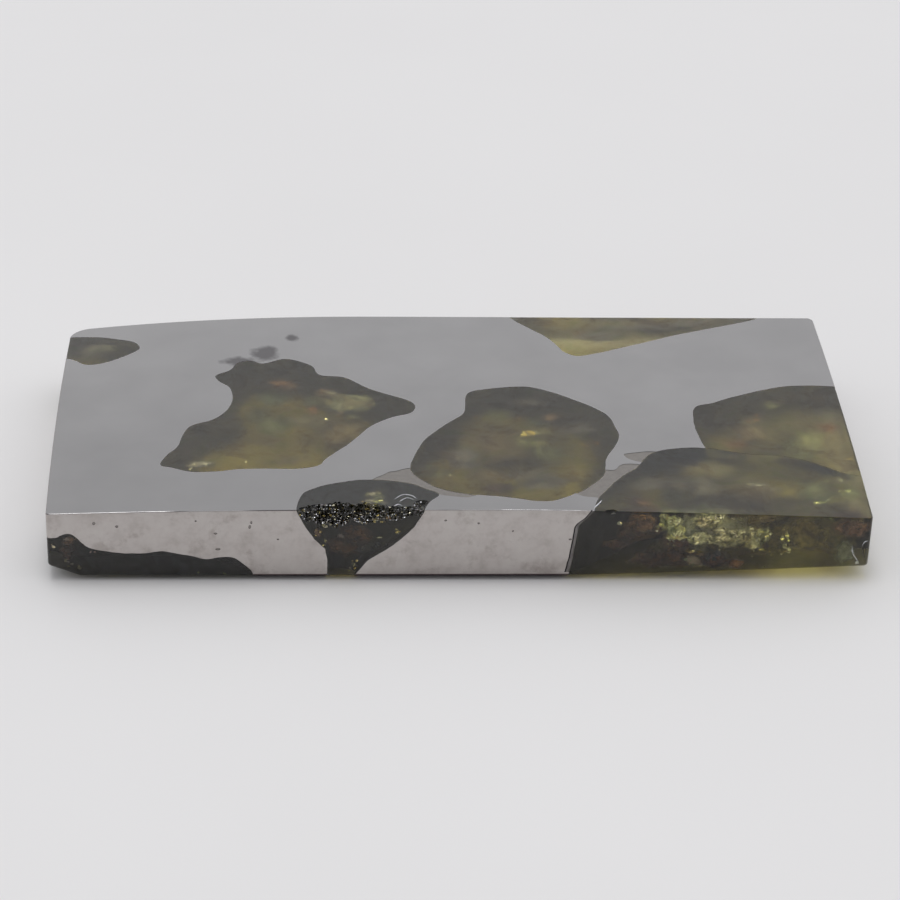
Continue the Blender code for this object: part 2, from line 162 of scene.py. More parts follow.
# The front centre crystal narrows downwards: (height, its left wall and its right one on the front face,
# share of its depth)
FRONT_CENTRE_WALLS = [
    (TOP, -7.4, -1.7, 1.0), (3.5, -7.3, -1.7, 1.0), (2.7, -6.9, -2.1, 0.98), (2.1, -6.5, -2.7, 0.92),
    (1.6, -6.0, -3.3, 0.84), (1.0, -5.9, -4.1, 0.76), (0.2, -5.9, -4.7, 0.68),
    (BOTTOM, -5.9, -4.7, 0.6),
]
# The left wall of the front right crystal leans out downwards: (height, shift in X)
FRONT_RIGHT_SHIFTS = [
    (TOP, 0.0), (3.5, -0.2), (2.8, -0.8), (2.1, -0.9), (1.2, -1.0), (BOTTOM, -1.3),
]
# The front left crystal thins towards the back: (y, share of its height, share of its length)
FRONT_LEFT_SLICES = [(-9.6, 1.0, 1.0), (-8.0, 0.97, 0.98), (-6.6, 0.8, 0.9), (-5.4, 0.5, 0.72)]

# Patches of iron sulphide that lie in the top face, almost flush with it
SULPHIDE_DEPTH = 0.012
SULPHIDE_PATCHES = [
    [(-3.9, -6.7), (-3.3, -5.95), (-2.9, -5.7), (-1.6, -5.5), (0.6, -7.3), (0.4, -7.9),
     (-0.4, -7.85), (-1.3, -7.6), (-2.4, -7.3)],
    [(6.3, -5.6), (6.9, -5.5), (7.2, -5.1), (7.6, -4.95), (8.2, -5.0), (8.7, -5.4), (7.4, -6.7),
     (6.5, -8.1), (5.9, -7.9), (5.3, -7.75), (5.0, -7.3), (5.6, -6.6)],
    [(7.5, -4.15), (7.9, -3.95), (8.8, -3.8), (9.3, -4.0), (8.9, -4.6), (8.2, -4.75), (7.7, -4.55)],
]
# Dark smudges in the polished metal behind the left crystal: (x, y, radius along X, radius along Y)
SMUDGES = [(-8.6, 5.3, 1.0, 1.25), (-9.9, 4.6, 1.3, 0.7), (-7.4, 6.8, 0.5, 0.5)]
SMUDGE_TONE = (0.42, 0.41, 0.42)
SMUDGE_RAGGED, SMUDGE_RANGE = 1.2, (0.85, 1.25)  # the share of noise, and the sums from clear to dark
# A crack in the front face beside the front right crystal, dark with the pocket wall's painted shade, and
# the grey rim between the two
CRACK = [
    (6.0, 4.2), (5.64, 3.64), (5.3, 3.2), (4.9, 2.78), (4.81, 2.06), (4.72, 1.23), (4.57, 0.3),
]
CRACK_LEFT, CRACK_RIGHT, CRACK_DEPTH = 0.01, 0.05, 0.06
CRACK_BEYOND = 0.5  # not BEYOND, so that its cutter has no plane in common with the rim's
RIM_LEFT, RIM_RIGHT = -0.04, 0.3  # it runs on into the pocket, which cuts it off
# Pits in the ground front face: (x, z, radius along X, radius along Z)
PITS = [
    (-15.96, 2.94, 0.07, 0.08), (-14.95, 2.75, 0.07, 0.06), (-9.17, 2.98, 0.05, 0.07),
    (-9.22, 2.76, 0.06, 0.1), (-10.7, 2.4, 0.08, 0.05), (-10.62, 1.58, 0.12, 0.06),
    (-11.55, 3.01, 0.05, 0.05), (0.68, 2.95, 0.05, 0.06), (-0.74, 3.07, 0.06, 0.05),
    (-8.0, 2.1, 0.06, 0.04), (4.72, 2.1, 0.07, 0.05), (2.2, 2.5, 0.04, 0.05),
]
PIT_DEPTH = 0.02
OVAL_POINTS, PIT_STEPS = 9, 2  # the points round a pit, and the straight pieces between two of them

# The front edge of the front centre crystal has crumbled away in small grains
CRUMBLE_FROM, CRUMBLE_TO = -7.1, -1.5
CRUMBLE_STEPS, CRUMBLE_SIDES = 110, 26
CRUMBLE_ACROSS, CRUMBLE_DOWN = 0.55, 0.76
CRUMBLE_ENDS = 0.3  # its size at the two ends as a share of that at the widest
CRUMBLE_LEANS = 0.65  # below 1 it is widest left of the middle
CRUMBLE_NOISE = [(2.2, 0.45), (6.5, 0.3), (15.0, 0.16)]  # (waves to the millimetre, share of its radius)
GRAINS = 1300
GRAIN_SIZES = (0.01, 0.042)
GRAIN_STRETCHES = [(0.5, 1.5), (0.5, 1.5), (0.5, 1.0)]  # the least and the most along each axis
GRAIN_LUMPS = 0.3
GRAIN_REACH, GRAIN_MARGIN = 1.0, 0.02  # how near the front edge they lie, and how far under both faces
# the white and cream grains are painted highlights, bright stand-ins for the glints of broken facets
GRAIN_LOOKS = ["soot"] * 9 + ["white"] * 5 + ["grey"] * 4 + ["cream"] * 2 + ["gold"]
# Chips, each a small bite out of an edge: (crystal, centre, radius)
CHIPS = [
    ("olivine_front_right", (6.5, -9.25, 3.75), 0.42),
    ("olivine_front_centre", (-1.75, -8.5, 3.75), 0.4),
]
CHIP_NOISE = [(1.6, 0.22), (5.0, 0.08), (12.0, 0.03)]
CHIP_DETAIL, GRAIN_DETAIL = 4, 1  # how often the balls that they are made from are divided

# Noises, by waves to the millimetre
CLOUD_RANGE = (0.3, 0.7)  # nearly all of a noise lies between these
CLOUDS = {
    "polish": {"often": 0.35, "detail": 4},
    "smudges": {"often": 1.6, "detail": 5, "roughness": 0.6},
    "ground": {"often": 1.3, "detail": 6, "roughness": 0.65},
    "stains": {"often": 0.8, "detail": 6, "roughness": 0.65},
    # the noise that sets where the arris has its painted highlight and where its painted shade
    "arris sheen": {"often": 0.22, "stretch": (1, 0.2, 0.2)},
    "grain": {"often": 14},
    "scratches": {"often": 1, "detail": 5, "roughness": 0.7, "stretch": (26, 26, 1.2)},
    "hairlines": {"often": 1, "stretch": (1, 40, 40)},
    "sulphide": {"often": 5, "detail": 5, "roughness": 0.6},
    "rim": {"often": 3, "detail": 5, "roughness": 0.65, "stretch": (3, 3, 0.6)},
    "wall": {"often": 1.4, "detail": 5, "roughness": 0.6},
    "crystal stains": {"often": 0.55, "detail": 4, "roughness": 0.55, "distortion": 0.6},
    "crystal mottle": {"often": 1.7, "detail": 4, "roughness": 0.6},
    "crystal haze": {"often": 1.1, "detail": 4},
    "crystal face": {"often": 5},
    "film rim": {"often": 3, "detail": 4, "roughness": 0.6},
    "film mottle": {"detail": 4, "roughness": 0.6},
    "film face": {"often": 8},
    "floor tone": {"often": 0.02, "detail": 4},
    "floor face": {"often": 5, "detail": 4},
}
# Bumps: (height in millimetres, strength)
BUMPS = {
    "scratches": (0.004, 0.35), "grain": (0.002, 0.3), "sulphide": (0.004, 0.3), "rim": (0.01, 0.4),
    "wall": (0.1, 0.6), "crystal": (0.002, 0.2), "film": (0.02, 0.7), "floor": (0.01, 0.15),
}
# Roughness where it is least and where it is most
ROUGH = {
    "ground": (0.3, 0.42), "polished": (0.09, 0.15), "sulphide": (0.16, 0.26), "rim": (0.25, 0.45),
    "clear crystal": (0.02, 0.08), "hazy crystal": (0.34, 0.45),
}
FILM_ROUGH = (0.7, 1.3)  # the same as shares of a film's own roughness
WALL_ROUGHNESS, WALL_METALLIC = 0.55, 0.3
FLOOR_ROUGHNESS, FLOOR_GLOSS = 0.8, 0.2
# Which way faces look, from 1 for up to -1 for down: where a finish starts, and where it is full
POLISHED_FACING, HAZY_FACING = (0.6, 0.9), (0.5, 0.9)
# the last pair: where the painted shade of the lower edge starts, and where it is full
UNDERSIDE_FACING, SHADED_LOWER_EDGE_FACING = (-0.5, -0.9), (-0.15, -0.35)
# the arris's painted highlight and painted shade are laid where faces look this way
ARRIS_FACING, ARRIS_SHEEN_RANGE = 0.6, (0.12, 0.3)  # the arris looks this way, or nearly

# Colours along a noise: (place in the noise, colour)
# Painted shade and painted light on one metal: the polished faces take darker tones than the ground ones,
# for how each is lit; both also vary with their noise
POLISHED_SHADE_TONES = [(0.3, (0.323, 0.319, 0.323)), (0.7, (0.352, 0.348, 0.352))]
GROUND_LIGHT_TONES = [
    (0.3, (0.43, 0.396, 0.376)), (0.5, (0.515, 0.481, 0.462)), (0.7, (0.556, 0.527, 0.503)),
]
GROUND_STAINS = [(0.33, (0.78, 0.76, 0.75)), (0.45, (1.0, 1.0, 1.0))]
# Painted highlight and painted shade along the rounded upper arris
ARRIS_SHEEN_TONES = [(0.49, (0.1, 0.085, 0.09)), (0.6, (0.62, 0.6, 0.59))]
SULPHIDE_TONES = [(0.3, (0.215, 0.2, 0.19)), (0.7, (0.255, 0.24, 0.225))]
RIM_TONES = [(0.35, (0.12, 0.11, 0.11)), (0.65, (0.24, 0.225, 0.22))]
# Painted shade: the pocket walls are painted dark, and those behind the front crystals darkest
WALL_SHADE_TONES = [(0.35, (0.035, 0.033, 0.033)), (0.5, (0.07, 0.066, 0.063)), (0.65, (0.13, 0.115, 0.1))]
FRONT_WALL_SHADE, INNER_WALL_SHADE = 0.12, 2.5  # how bright the wall behind a crystal at the front is, and the others
FLOOR_TONES = [(0.3, (0.755, 0.75, 0.755)), (0.7, (0.785, 0.78, 0.785))]

# Colours that follow no noise
# Painted shade: the lower arris and the underside, dark as the narrow gap under the slice
LOWER_EDGE_SHADE = (0.1, 0.065, 0.07)
# The top face is painted darker towards its front left, as painted shade. The tone follows Y plus a share
# of X: (from, to, tone at the first, tone at the second)
TOP_SLANT, TOP_PAINTED_SHADE = 0.3, (-9, 3, 0.9, 1)

# The crystals: their stains, and what their depth takes out of the light
OLIVINE_TINTS = [
    (0.36, (0.5, 0.42, 0.33)), (0.45, (0.86, 0.81, 0.72)), (0.54, (1.0, 0.98, 0.9)),
    (0.66, (0.8, 0.86, 0.7)),
]
OLIVINE_MOTTLE = [(0.38, (0.87, 0.855, 0.83)), (0.6, (1.0, 1.0, 1.0))]
UNDERSIDE_TINT = (1.0, 0.94, 0.45)
ABSORBED, DENSITY = (0.85, 0.783, 0.167), 260.0
OLIVINE_IOR = 1.56

# What a healed fracture, a stain or an inclusion looks like inside a crystal:
# (colour where dark, colour where light, metallic, roughness)
FRACTURE_LOOKS = {
    "white": ((0.55, 0.57, 0.6), (0.95, 0.96, 1.0), 1.0, 0.12),
    "cream": ((0.62, 0.56, 0.36), (0.95, 0.92, 0.74), 1.0, 0.14),
    "foil": ((0.3, 0.3, 0.12), (1.0, 0.96, 0.56), 1.0, 0.12),
    "gold": ((0.34, 0.25, 0.07), (0.8, 0.66, 0.28), 1.0, 0.2),
    "glint": ((0.24, 0.26, 0.1), (0.95, 0.95, 0.52), 0.65, 0.2),
    "milk": ((0.36, 0.34, 0.3), (0.7, 0.66, 0.6), 0.35, 0.35),
    "frost": ((0.6, 0.63, 0.6), (0.95, 0.97, 0.93), 0.5, 0.3),
    "pale": ((0.26, 0.27, 0.18), (0.56, 0.58, 0.42), 0.35, 0.35),
    "green": ((0.16, 0.175, 0.12), (0.33, 0.37, 0.24), 0.3, 0.4),
    "teal": ((0.14, 0.17, 0.15), (0.26, 0.32, 0.27), 0.3, 0.4),
    "olive": ((0.19, 0.17, 0.13), (0.38, 0.345, 0.26), 0.2, 0.4),
    "tan": ((0.22, 0.18, 0.14), (0.44, 0.365, 0.3), 0.2, 0.4),
    "grey": ((0.14, 0.13, 0.135), (0.27, 0.25, 0.26), 0.2, 0.4),
    "orange": ((0.24, 0.125, 0.05), (0.5, 0.28, 0.13), 0.4, 0.35),
    "amber": ((0.08, 0.042, 0.024), (0.26, 0.15, 0.085), 0.3, 0.4),
    "pink": ((0.24, 0.165, 0.14), (0.48, 0.34, 0.3), 0.3, 0.35),
    "veil": ((0.09, 0.078, 0.035), (0.27, 0.23, 0.09), 0.1, 0.5),
    "rust": ((0.03, 0.012, 0.006), (0.13, 0.055, 0.02), 0.2, 0.5),
    "soot": ((0.004, 0.004, 0.005), (0.02, 0.02, 0.022), 0.0, 0.12),
}
LOOK_NUMBERS = {look: number for number, look in enumerate(FRACTURE_LOOKS)}
FADE = "fade"  # the value that tells each point of a film how near the rim it is
FADE_RAGGED, FADE_RANGE = 0.9, (0.9, 1.4)  # the share of noise, and the sums from full to gone
MOTTLE_WAVES = 2.2  # to the millimetre. The more metallic a film is, the more it has
MOTTLE_RANGE = (0.38, 0.62)  # where in the noise a film is dark, and where it is light

# Small flakes of them as seen through the top face: (look, middle x and y, nearest and farthest depth,
# size), and where there is more than one or the place is loose, how many and the reach along X and Y
TOP_FLAKES = {
    "olivine_left": [
        ("orange", (-4.0, 0.4), (0.3, 0.8), 0.15, 3, (0.15, 0.45)),
        ("pink", (-5.2, -0.4), (0.4, 1.0), 0.18, 3, (0.25, 0.3)),
        ("cream", (-5.9, -1.2), (0.25, 0.5), 0.12, 2, (0.2, 0.2)),
        ("cream", (-11.4, -5.15), (0.1, 0.35), 0.14, 7, (0.65, 0.3)),
        ("cream", (-9.5, -4.8), (0.2, 0.4), 0.12, 1, (0.1, 0.1)),
    ],
    "olivine_centre": [
        ("orange", (3.0, -0.9), (0.5, 1.0), 0.15, 2, (0.2, 0.2)),
        ("orange", (1.0, -0.9), (0.6, 1.0), 0.16, 2, (0.2, 0.2)),
        ("gold", (6.0, -2.9), (0.2, 0.45), 0.15, 2, (0.2, 0.2)),
        ("orange", (6.1, -2.9), (0.4, 0.9), 0.18, 4, (0.4, 0.5)),
        ("cream", (-0.45, -6.1), (0.2, 0.4), 0.11, 2, (0.3, 0.08)),
        ("cream", (2.6, -7.6), (0.1, 0.3), 0.1, 1, (0.12, 0.08)),
        ("pink", (-0.25, -4.1), (0.4, 0.9), 0.17, 4, (0.8, 0.2)),
        ("rust", (-0.5, -2.8), (0.3, 0.7), 0.14, 2, (0.12, 0.35)),
        ("teal", (-1.2, -5.2), (0.4, 0.9), 0.18, 3, (0.3, 0.3)),
    ],
    "olivine_front_centre": [
        ("pale", (-3.8, -8.0), (0.15, 0.5), 0.13, 6, (0.4, 0.4)),
        ("gold", (-3.95, -8.5), (0.1, 0.4), 0.12, 9, (0.45, 0.25)),
    ],
    "olivine_front_right": [
        ("cream", (8.95, -5.6), (0.2, 0.4), 0.12, 1, (0.1, 0.12)),
        ("pale", (16.8, -5.9), (0.2, 0.5), 0.18, 3, (0.5, 0.2)),
        ("cream", (17.2, -7.9), (0.1, 0.2), 0.11, 1, (0.2, 0.05)),
        ("pale", (15.7, -7.6), (0.1, 0.3), 0.12, 2, (0.6, 0.1)),
    ],
    "olivine_right": [
        ("orange", (13.8, -0.65), (0.3, 0.8), 0.18, 3, (0.3, 0.3)),
        ("gold", (17.6, -3.8), (0.3, 0.8), 0.18, 3, (0.3, 0.5)),
    ],
}
# Crumpled sheets of them, the same way, with half of a sheet's length along X and along Y for its size
TOP_SHEETS = {
    "olivine_left": [
        ("tan", (-8.6, -3.2), (1.75, 2.15), (0.8, 0.5)),
        ("tan", (-7.6, -4.8), (0.85, 1.65), (1.4, 0.4)),
        ("green", (-8.4, -0.9), (1.15, 2.35), (0.75, 0.98), 2, (0.5, 0.65)),
        ("teal", (-8.3, 0.9), (1.05, 1.95), (0.9, 0.9)),
        ("pink", (-7.6, 2.1), (0.65, 1.35), (0.5, 0.45)),
        ("orange", (-8.0, 2.3), (0.75, 1.25), (0.4, 0.3)),
        ("cream", (-5.7, 1.2), (0.55, 0.95), (0.35, 0.45)),
        ("pink", (-5.9, 1.5), (0.75, 1.25), (0.4, 0.4)),
        ("teal", (-4.7, 0.3), (0.75, 1.35), (0.45, 0.45)),
        ("pale", (-4.6, -0.75), (0.75, 1.55), (0.45, 0.4)),
        ("green", (-5.6, 0.3), (0.6, 1.1), (1.2, 0.8), 2, (0.4, 0.3)),
        ("olive", (-6.6, -1.2), (0.8, 1.2), (1.3, 0.9)),
        ("green", (-6.5, 0.5), (0.85, 1.75), (0.4, 0.7)),
        ("orange", (-6.4, -0.2), (0.75, 1.35), (0.3, 0.35)),
        ("tan", (-5.2, -2.2), (1.15, 2.15), (1.4, 1.0)),
        ("pale", (-11.2, -5.0), (0.55, 0.85), (0.7, 0.35)),
        ("rust", (-12.1, -3.8), (0.55, 1.15), (0.2, 0.4)),
        ("milk", (-11.4, -5.0), (0.08, 0.25), (0.5, 0.24), 4, (0.5, 0.12)),
        ("milk", (-5.6, 1.35), (0.2, 0.5), (0.42, 0.34)),
        ("pale", (-4.9, 0.2), (0.25, 0.6), (1.0, 0.8), 3, (0.4, 0.4)),
        ("glint", (-11.3, -5.1), (0.1, 0.2), (0.4, 0.18)),
        ("orange", (-8.0, 2.3), (0.5, 0.9), (0.5, 0.35), 2, (0.2, 0.1)),
        ("pale", (-5.2, 0.7), (0.3, 0.8), (0.6, 0.5), 3, (0.4, 0.5)),
    ],
    "olivine_centre": [
        ("olive", (2.4, -4.4), (1.35, 2.95), (2.17, 1.8), 1, (1.45, 1.2)),
        ("tan", (2.4, -3.6), (1.15, 2.55), (2.25, 1.95), 1, (1.5, 1.3)),
        ("gold", (3.25, -2.4), (0.65, 1.25), (0.4, 0.35)),
        ("pale", (3.8, -2.2), (0.75, 1.35), (0.9, 0.2)),
        ("teal", (3.8, -1.5), (0.85, 1.55), (0.75, 0.3)),
        ("pink", (4.45, -0.8), (0.85, 1.45), (0.5, 0.35)),
        ("green", (1.9, -0.6), (1.15, 2.15), (0.8, 0.7)),
        ("pale", (3.3, -3.1), (1.05, 1.85), (0.8, 0.5)),
        ("green", (4.4, -4.6), (1.05, 2.15), (0.68, 0.83), 2, (0.45, 0.55)),
        ("grey", (0.2, -4.6), (0.3, 0.8), (0.9, 0.8), 2, (0.4, 0.5)),
        ("grey", (5.6, -1.6), (0.3, 0.8), (0.8, 0.8), 2, (0.4, 0.6)),
        ("grey", (3.4, -6.4), (0.3, 0.8), (1.6, 0.8), 2, (0.8, 0.4)),
        ("grey", (3.2, 0.6), (0.3, 0.8), (1.1, 0.5), 1, (0.5, 0.2)),
        ("pale", (-0.75, -5.9), (0.85, 1.45), (0.65, 0.45)),
        ("tan", (0.95, -6.2), (0.85, 1.85), (0.83, 0.6), 2, (0.55, 0.4)),
        ("rust", (1.8, -7.2), (0.75, 1.55), (0.9, 0.5)),
    ],
    "olivine_front_centre": [
        ("olive", (-3.6, -7.4), (0.85, 1.55), (1.4, 0.5)),
        ("pale", (-3.85, -7.9), (0.15, 0.4), (0.35, 0.3), 2, (0.25, 0.4)),
        ("milk", (-3.85, -8.1), (0.08, 0.25), (0.3, 0.2), 4, (0.4, 0.45)),
        ("glint", (-3.85, -8.3), (0.08, 0.25), (0.2, 0.14), 2, (0.4, 0.3)),
        ("foil", (-3.8, -8.45), (0.05, 0.2), (0.14, 0.1), 4, (0.35, 0.25)),
    ],
    "olivine_front_right": [
        ("olive", (12.0, -6.0), (1.15, 2.55), (2.55, 1.35), 2, (1.7, 0.9)),
        ("grey", (9.6, -6.2), (0.3, 0.8), (1.1, 0.8), 3, (1.2, 0.8)),
        ("milk", (13.6, -6.4), (0.2, 0.5), (0.5, 0.14), 3, (1.0, 0.9)),
        ("glint", (16.4, -7.2), (0.2, 0.4), (0.4, 0.1), 3, (0.9, 0.8)),
        ("orange", (8.0, -8.2), (0.65, 1.25), (0.4, 0.4)),
        ("rust", (7.6, -8.1), (0.75, 1.35), (0.5, 0.5)),
        ("pink", (11.2, -7.0), (0.95, 1.75), (0.4, 0.6)),
        ("green", (9.3, -7.5), (1.05, 1.95), (0.8, 1.0)),
        ("green", (15.6, -6.7), (0.85, 1.95), (0.75, 1.05), 2, (0.5, 0.7)),
        ("pale", (15.9, -6.9), (0.85, 1.75), (0.8, 1.2)),
        ("pale", (17.3, -7.0), (0.75, 1.35), (0.5, 0.4)),
        ("tan", (12.9, -6.9), (0.95, 2.15), (1.4, 1.4)),
        ("tan", (17.2, -8.4), (0.65, 1.15), (0.6, 0.35)),
    ],
    "olivine_right": [
        ("olive", (14.9, -1.4), (1.25, 2.75), (1.8, 1.65), 2, (1.2, 1.1)),
        ("pale", (14.85, 0.6), (0.95, 1.65), (0.4, 0.4)),
        ("tan", (13.5, -1.9), (0.95, 1.85), (0.9, 0.7)),
        ("green", (16.0, -2.8), (1.05, 2.25), (0.83, 1.2), 2, (0.55, 0.8)),
        ("pale", (16.1, -2.7), (0.75, 1.55), (0.7, 1.0)),
        ("orange", (17.2, -1.4), (0.85, 1.65), (0.6, 0.6)),
        ("orange", (12.75, -3.0), (0.85, 1.55), (0.6, 0.4)),
        ("tan", (17.2, 1.3), (1.15, 1.85), (0.6, 0.5)),
    ],
    "olivine_back": [
        ("grey", (8.2, 7.0), (0.25, 0.6), (1.2, 0.5), 2, (1.0, 0.2)),
        ("grey", (11.0, 8.2), (0.25, 0.6), (1.4, 0.5), 2, (1.2, 0.2)),
        ("tan", (12.5, 8.7), (0.35, 0.7), (1.2, 0.3), 2, (1.0, 0.1)),
        ("grey", (9.6, 8.0), (0.5, 1.2), (2.7, 0.52), 2, (1.8, 0.35)),
        ("olive", (9.6, 7.6), (0.7, 1.4), (2.7, 0.75), 1, (1.8, 0.5)),
        ("orange", (6.5, 7.2), (0.65, 1.15), (0.3, 0.3)),
        ("orange", (12.0, 8.0), (0.65, 1.15), (0.4, 0.2)),
    ],
    "olivine_back_left": [
        ("grey", (-16.6, 6.6), (0.4, 0.8), (1.0, 0.7)),
        ("grey", (-16.4, 6.6), (0.4, 0.8), (0.9, 0.5)),
    ],
}
# Both as seen through the front face, by x and z
FRONT_FLAKES = {
    "olivine_front_centre": [
        ("cream", (-6.05, 2.88), (0.03, 0.15), 0.08, 3, (0.12, 0.16)),
        ("gold", (-6.2, 2.2), (0.03, 0.2), 0.09, 4, (0.25, 0.4)),
        ("cream", (-5.97, 1.9), (0.03, 0.2), 0.07, 3, (0.08, 0.18)),
        ("gold", (-3.6, 3.2), (0.05, 0.4), 0.09, 9, (0.5, 0.25)),
        ("gold", (-2.8, 2.45), (0.05, 0.2), 0.055, 4, (0.18, 0.16)),
        ("cream", (-2.75, 2.5), (0.05, 0.1), 0.05, 1, (0.05, 0.05)),
        ("soot", (-3.5, 1.86), (0.03, 0.12), 0.15, 4, (0.3, 0.1)),
        ("gold", (-4.72, 0.8), (0.05, 0.2), 0.1, 3, (0.2, 0.24)),
        ("cream", (-4.85, 0.62), (0.03, 0.06), 0.08, 1, (0.04, 0.04)),
        ("orange", (-3.3, 3.2), (0.05, 0.3), 0.08, 3, (0.12, 0.15)),
    ],
    "olivine_front_right": [
        ("orange", (8.0, 3.1), (0.08, 0.25), 0.09, 2, (0.08, 0.3)),
        ("cream", (6.9, 2.92), (0.1, 0.15), 0.08, 1, (0.04, 0.04)),
        ("pale", (6.78, 2.9), (0.15, 0.4), 0.1, 3, (0.14, 0.1)),
        ("gold", (9.0, 3.1), (0.06, 0.4), 0.1, 6, (0.25, 0.3)),
        ("cream", (9.05, 2.95), (0.05, 0.15), 0.06, 3, (0.15, 0.1)),
        ("cream", (8.5, 2.52), (0.05, 0.2), 0.075, 2, (0.1, 0.12)),
        ("gold", (9.4, 2.27), (0.05, 0.2), 0.08, 3, (0.14, 0.08)),
        ("pale", (9.2, 1.95), (0.1, 0.4), 0.09, 4, (0.2, 0.18)),
        ("cream", (9.3, 1.8), (0.04, 0.12), 0.06, 2, (0.1, 0.1)),
        ("cream", (10.0, 1.45), (0.04, 0.15), 0.055, 4, (0.3, 0.12)),
        ("cream", (10.75, 3.13), (0.08, 0.3), 0.11, 7, (0.42, 0.1)),
        ("soot", (10.96, 1.2), (0.05, 0.25), 0.18, 7, (0.38, 0.26)),
        ("green", (10.05, 0.9), (0.05, 0.25), 0.1, 4, (0.2, 0.15)),
        ("pale", (10.12, 0.87), (0.04, 0.1), 0.06, 2, (0.1, 0.1)),
        ("cream", (11.8, 2.3), (0.05, 0.12), 0.1, 2, (0.2, 0.06)),
        ("cream", (11.9, 3.15), (0.05, 0.2), 0.06, 2, (0.14, 0.18)),
        ("cream", (11.36, 1.57), (0.04, 0.08), 0.075, 1, (0.04, 0.04)),
        ("cream", (13.04, 3.16), (0.05, 0.1), 0.065, 1, (0.05, 0.05)),
        ("gold", (14.18, 2.6), (0.05, 0.2), 0.08, 2, (0.08, 0.08)),
        ("pale", (13.0, 2.22), (0.1, 0.4), 0.08, 3, (0.1, 0.2)),
        ("cream", (13.53, 1.46), (0.04, 0.1), 0.075, 1, (0.04, 0.04)),
        ("cream", (14.1, 1.3), (0.04, 0.1), 0.075, 1, (0.04, 0.04)),
        ("gold", (14.35, 1.7), (0.05, 0.2), 0.07, 3, (0.06, 0.25)),
        ("pale", (13.35, 0.66), (0.05, 0.2), 0.07, 2, (0.12, 0.12)),
        ("pale", (12.82, 1.3), (0.05, 0.3), 0.04, 4, (0.05, 0.5)),
    ],
    "olivine_front_left": [
        ("cream", (-17.73, 1.76), (0.02, 0.08), 0.11, 2, (0.06, 0.12)),
        ("pale", (-17.18, 1.03), (0.03, 0.12), 0.08, 2, (0.08, 0.1)),
        ("pale", (-16.87, 0.78), (0.03, 0.2), 0.09, 4, (0.28, 0.16)),
        ("pink", (-16.05, 1.5), (0.03, 0.15), 0.1, 2, (0.15, 0.06)),
        ("pale", (-11.48, 0.38), (0.03, 0.08), 0.07, 1, (0.03, 0.03)),
        ("pale", (-10.2, 0.37), (0.03, 0.1), 0.08, 2, (0.18, 0.05)),
    ],
}
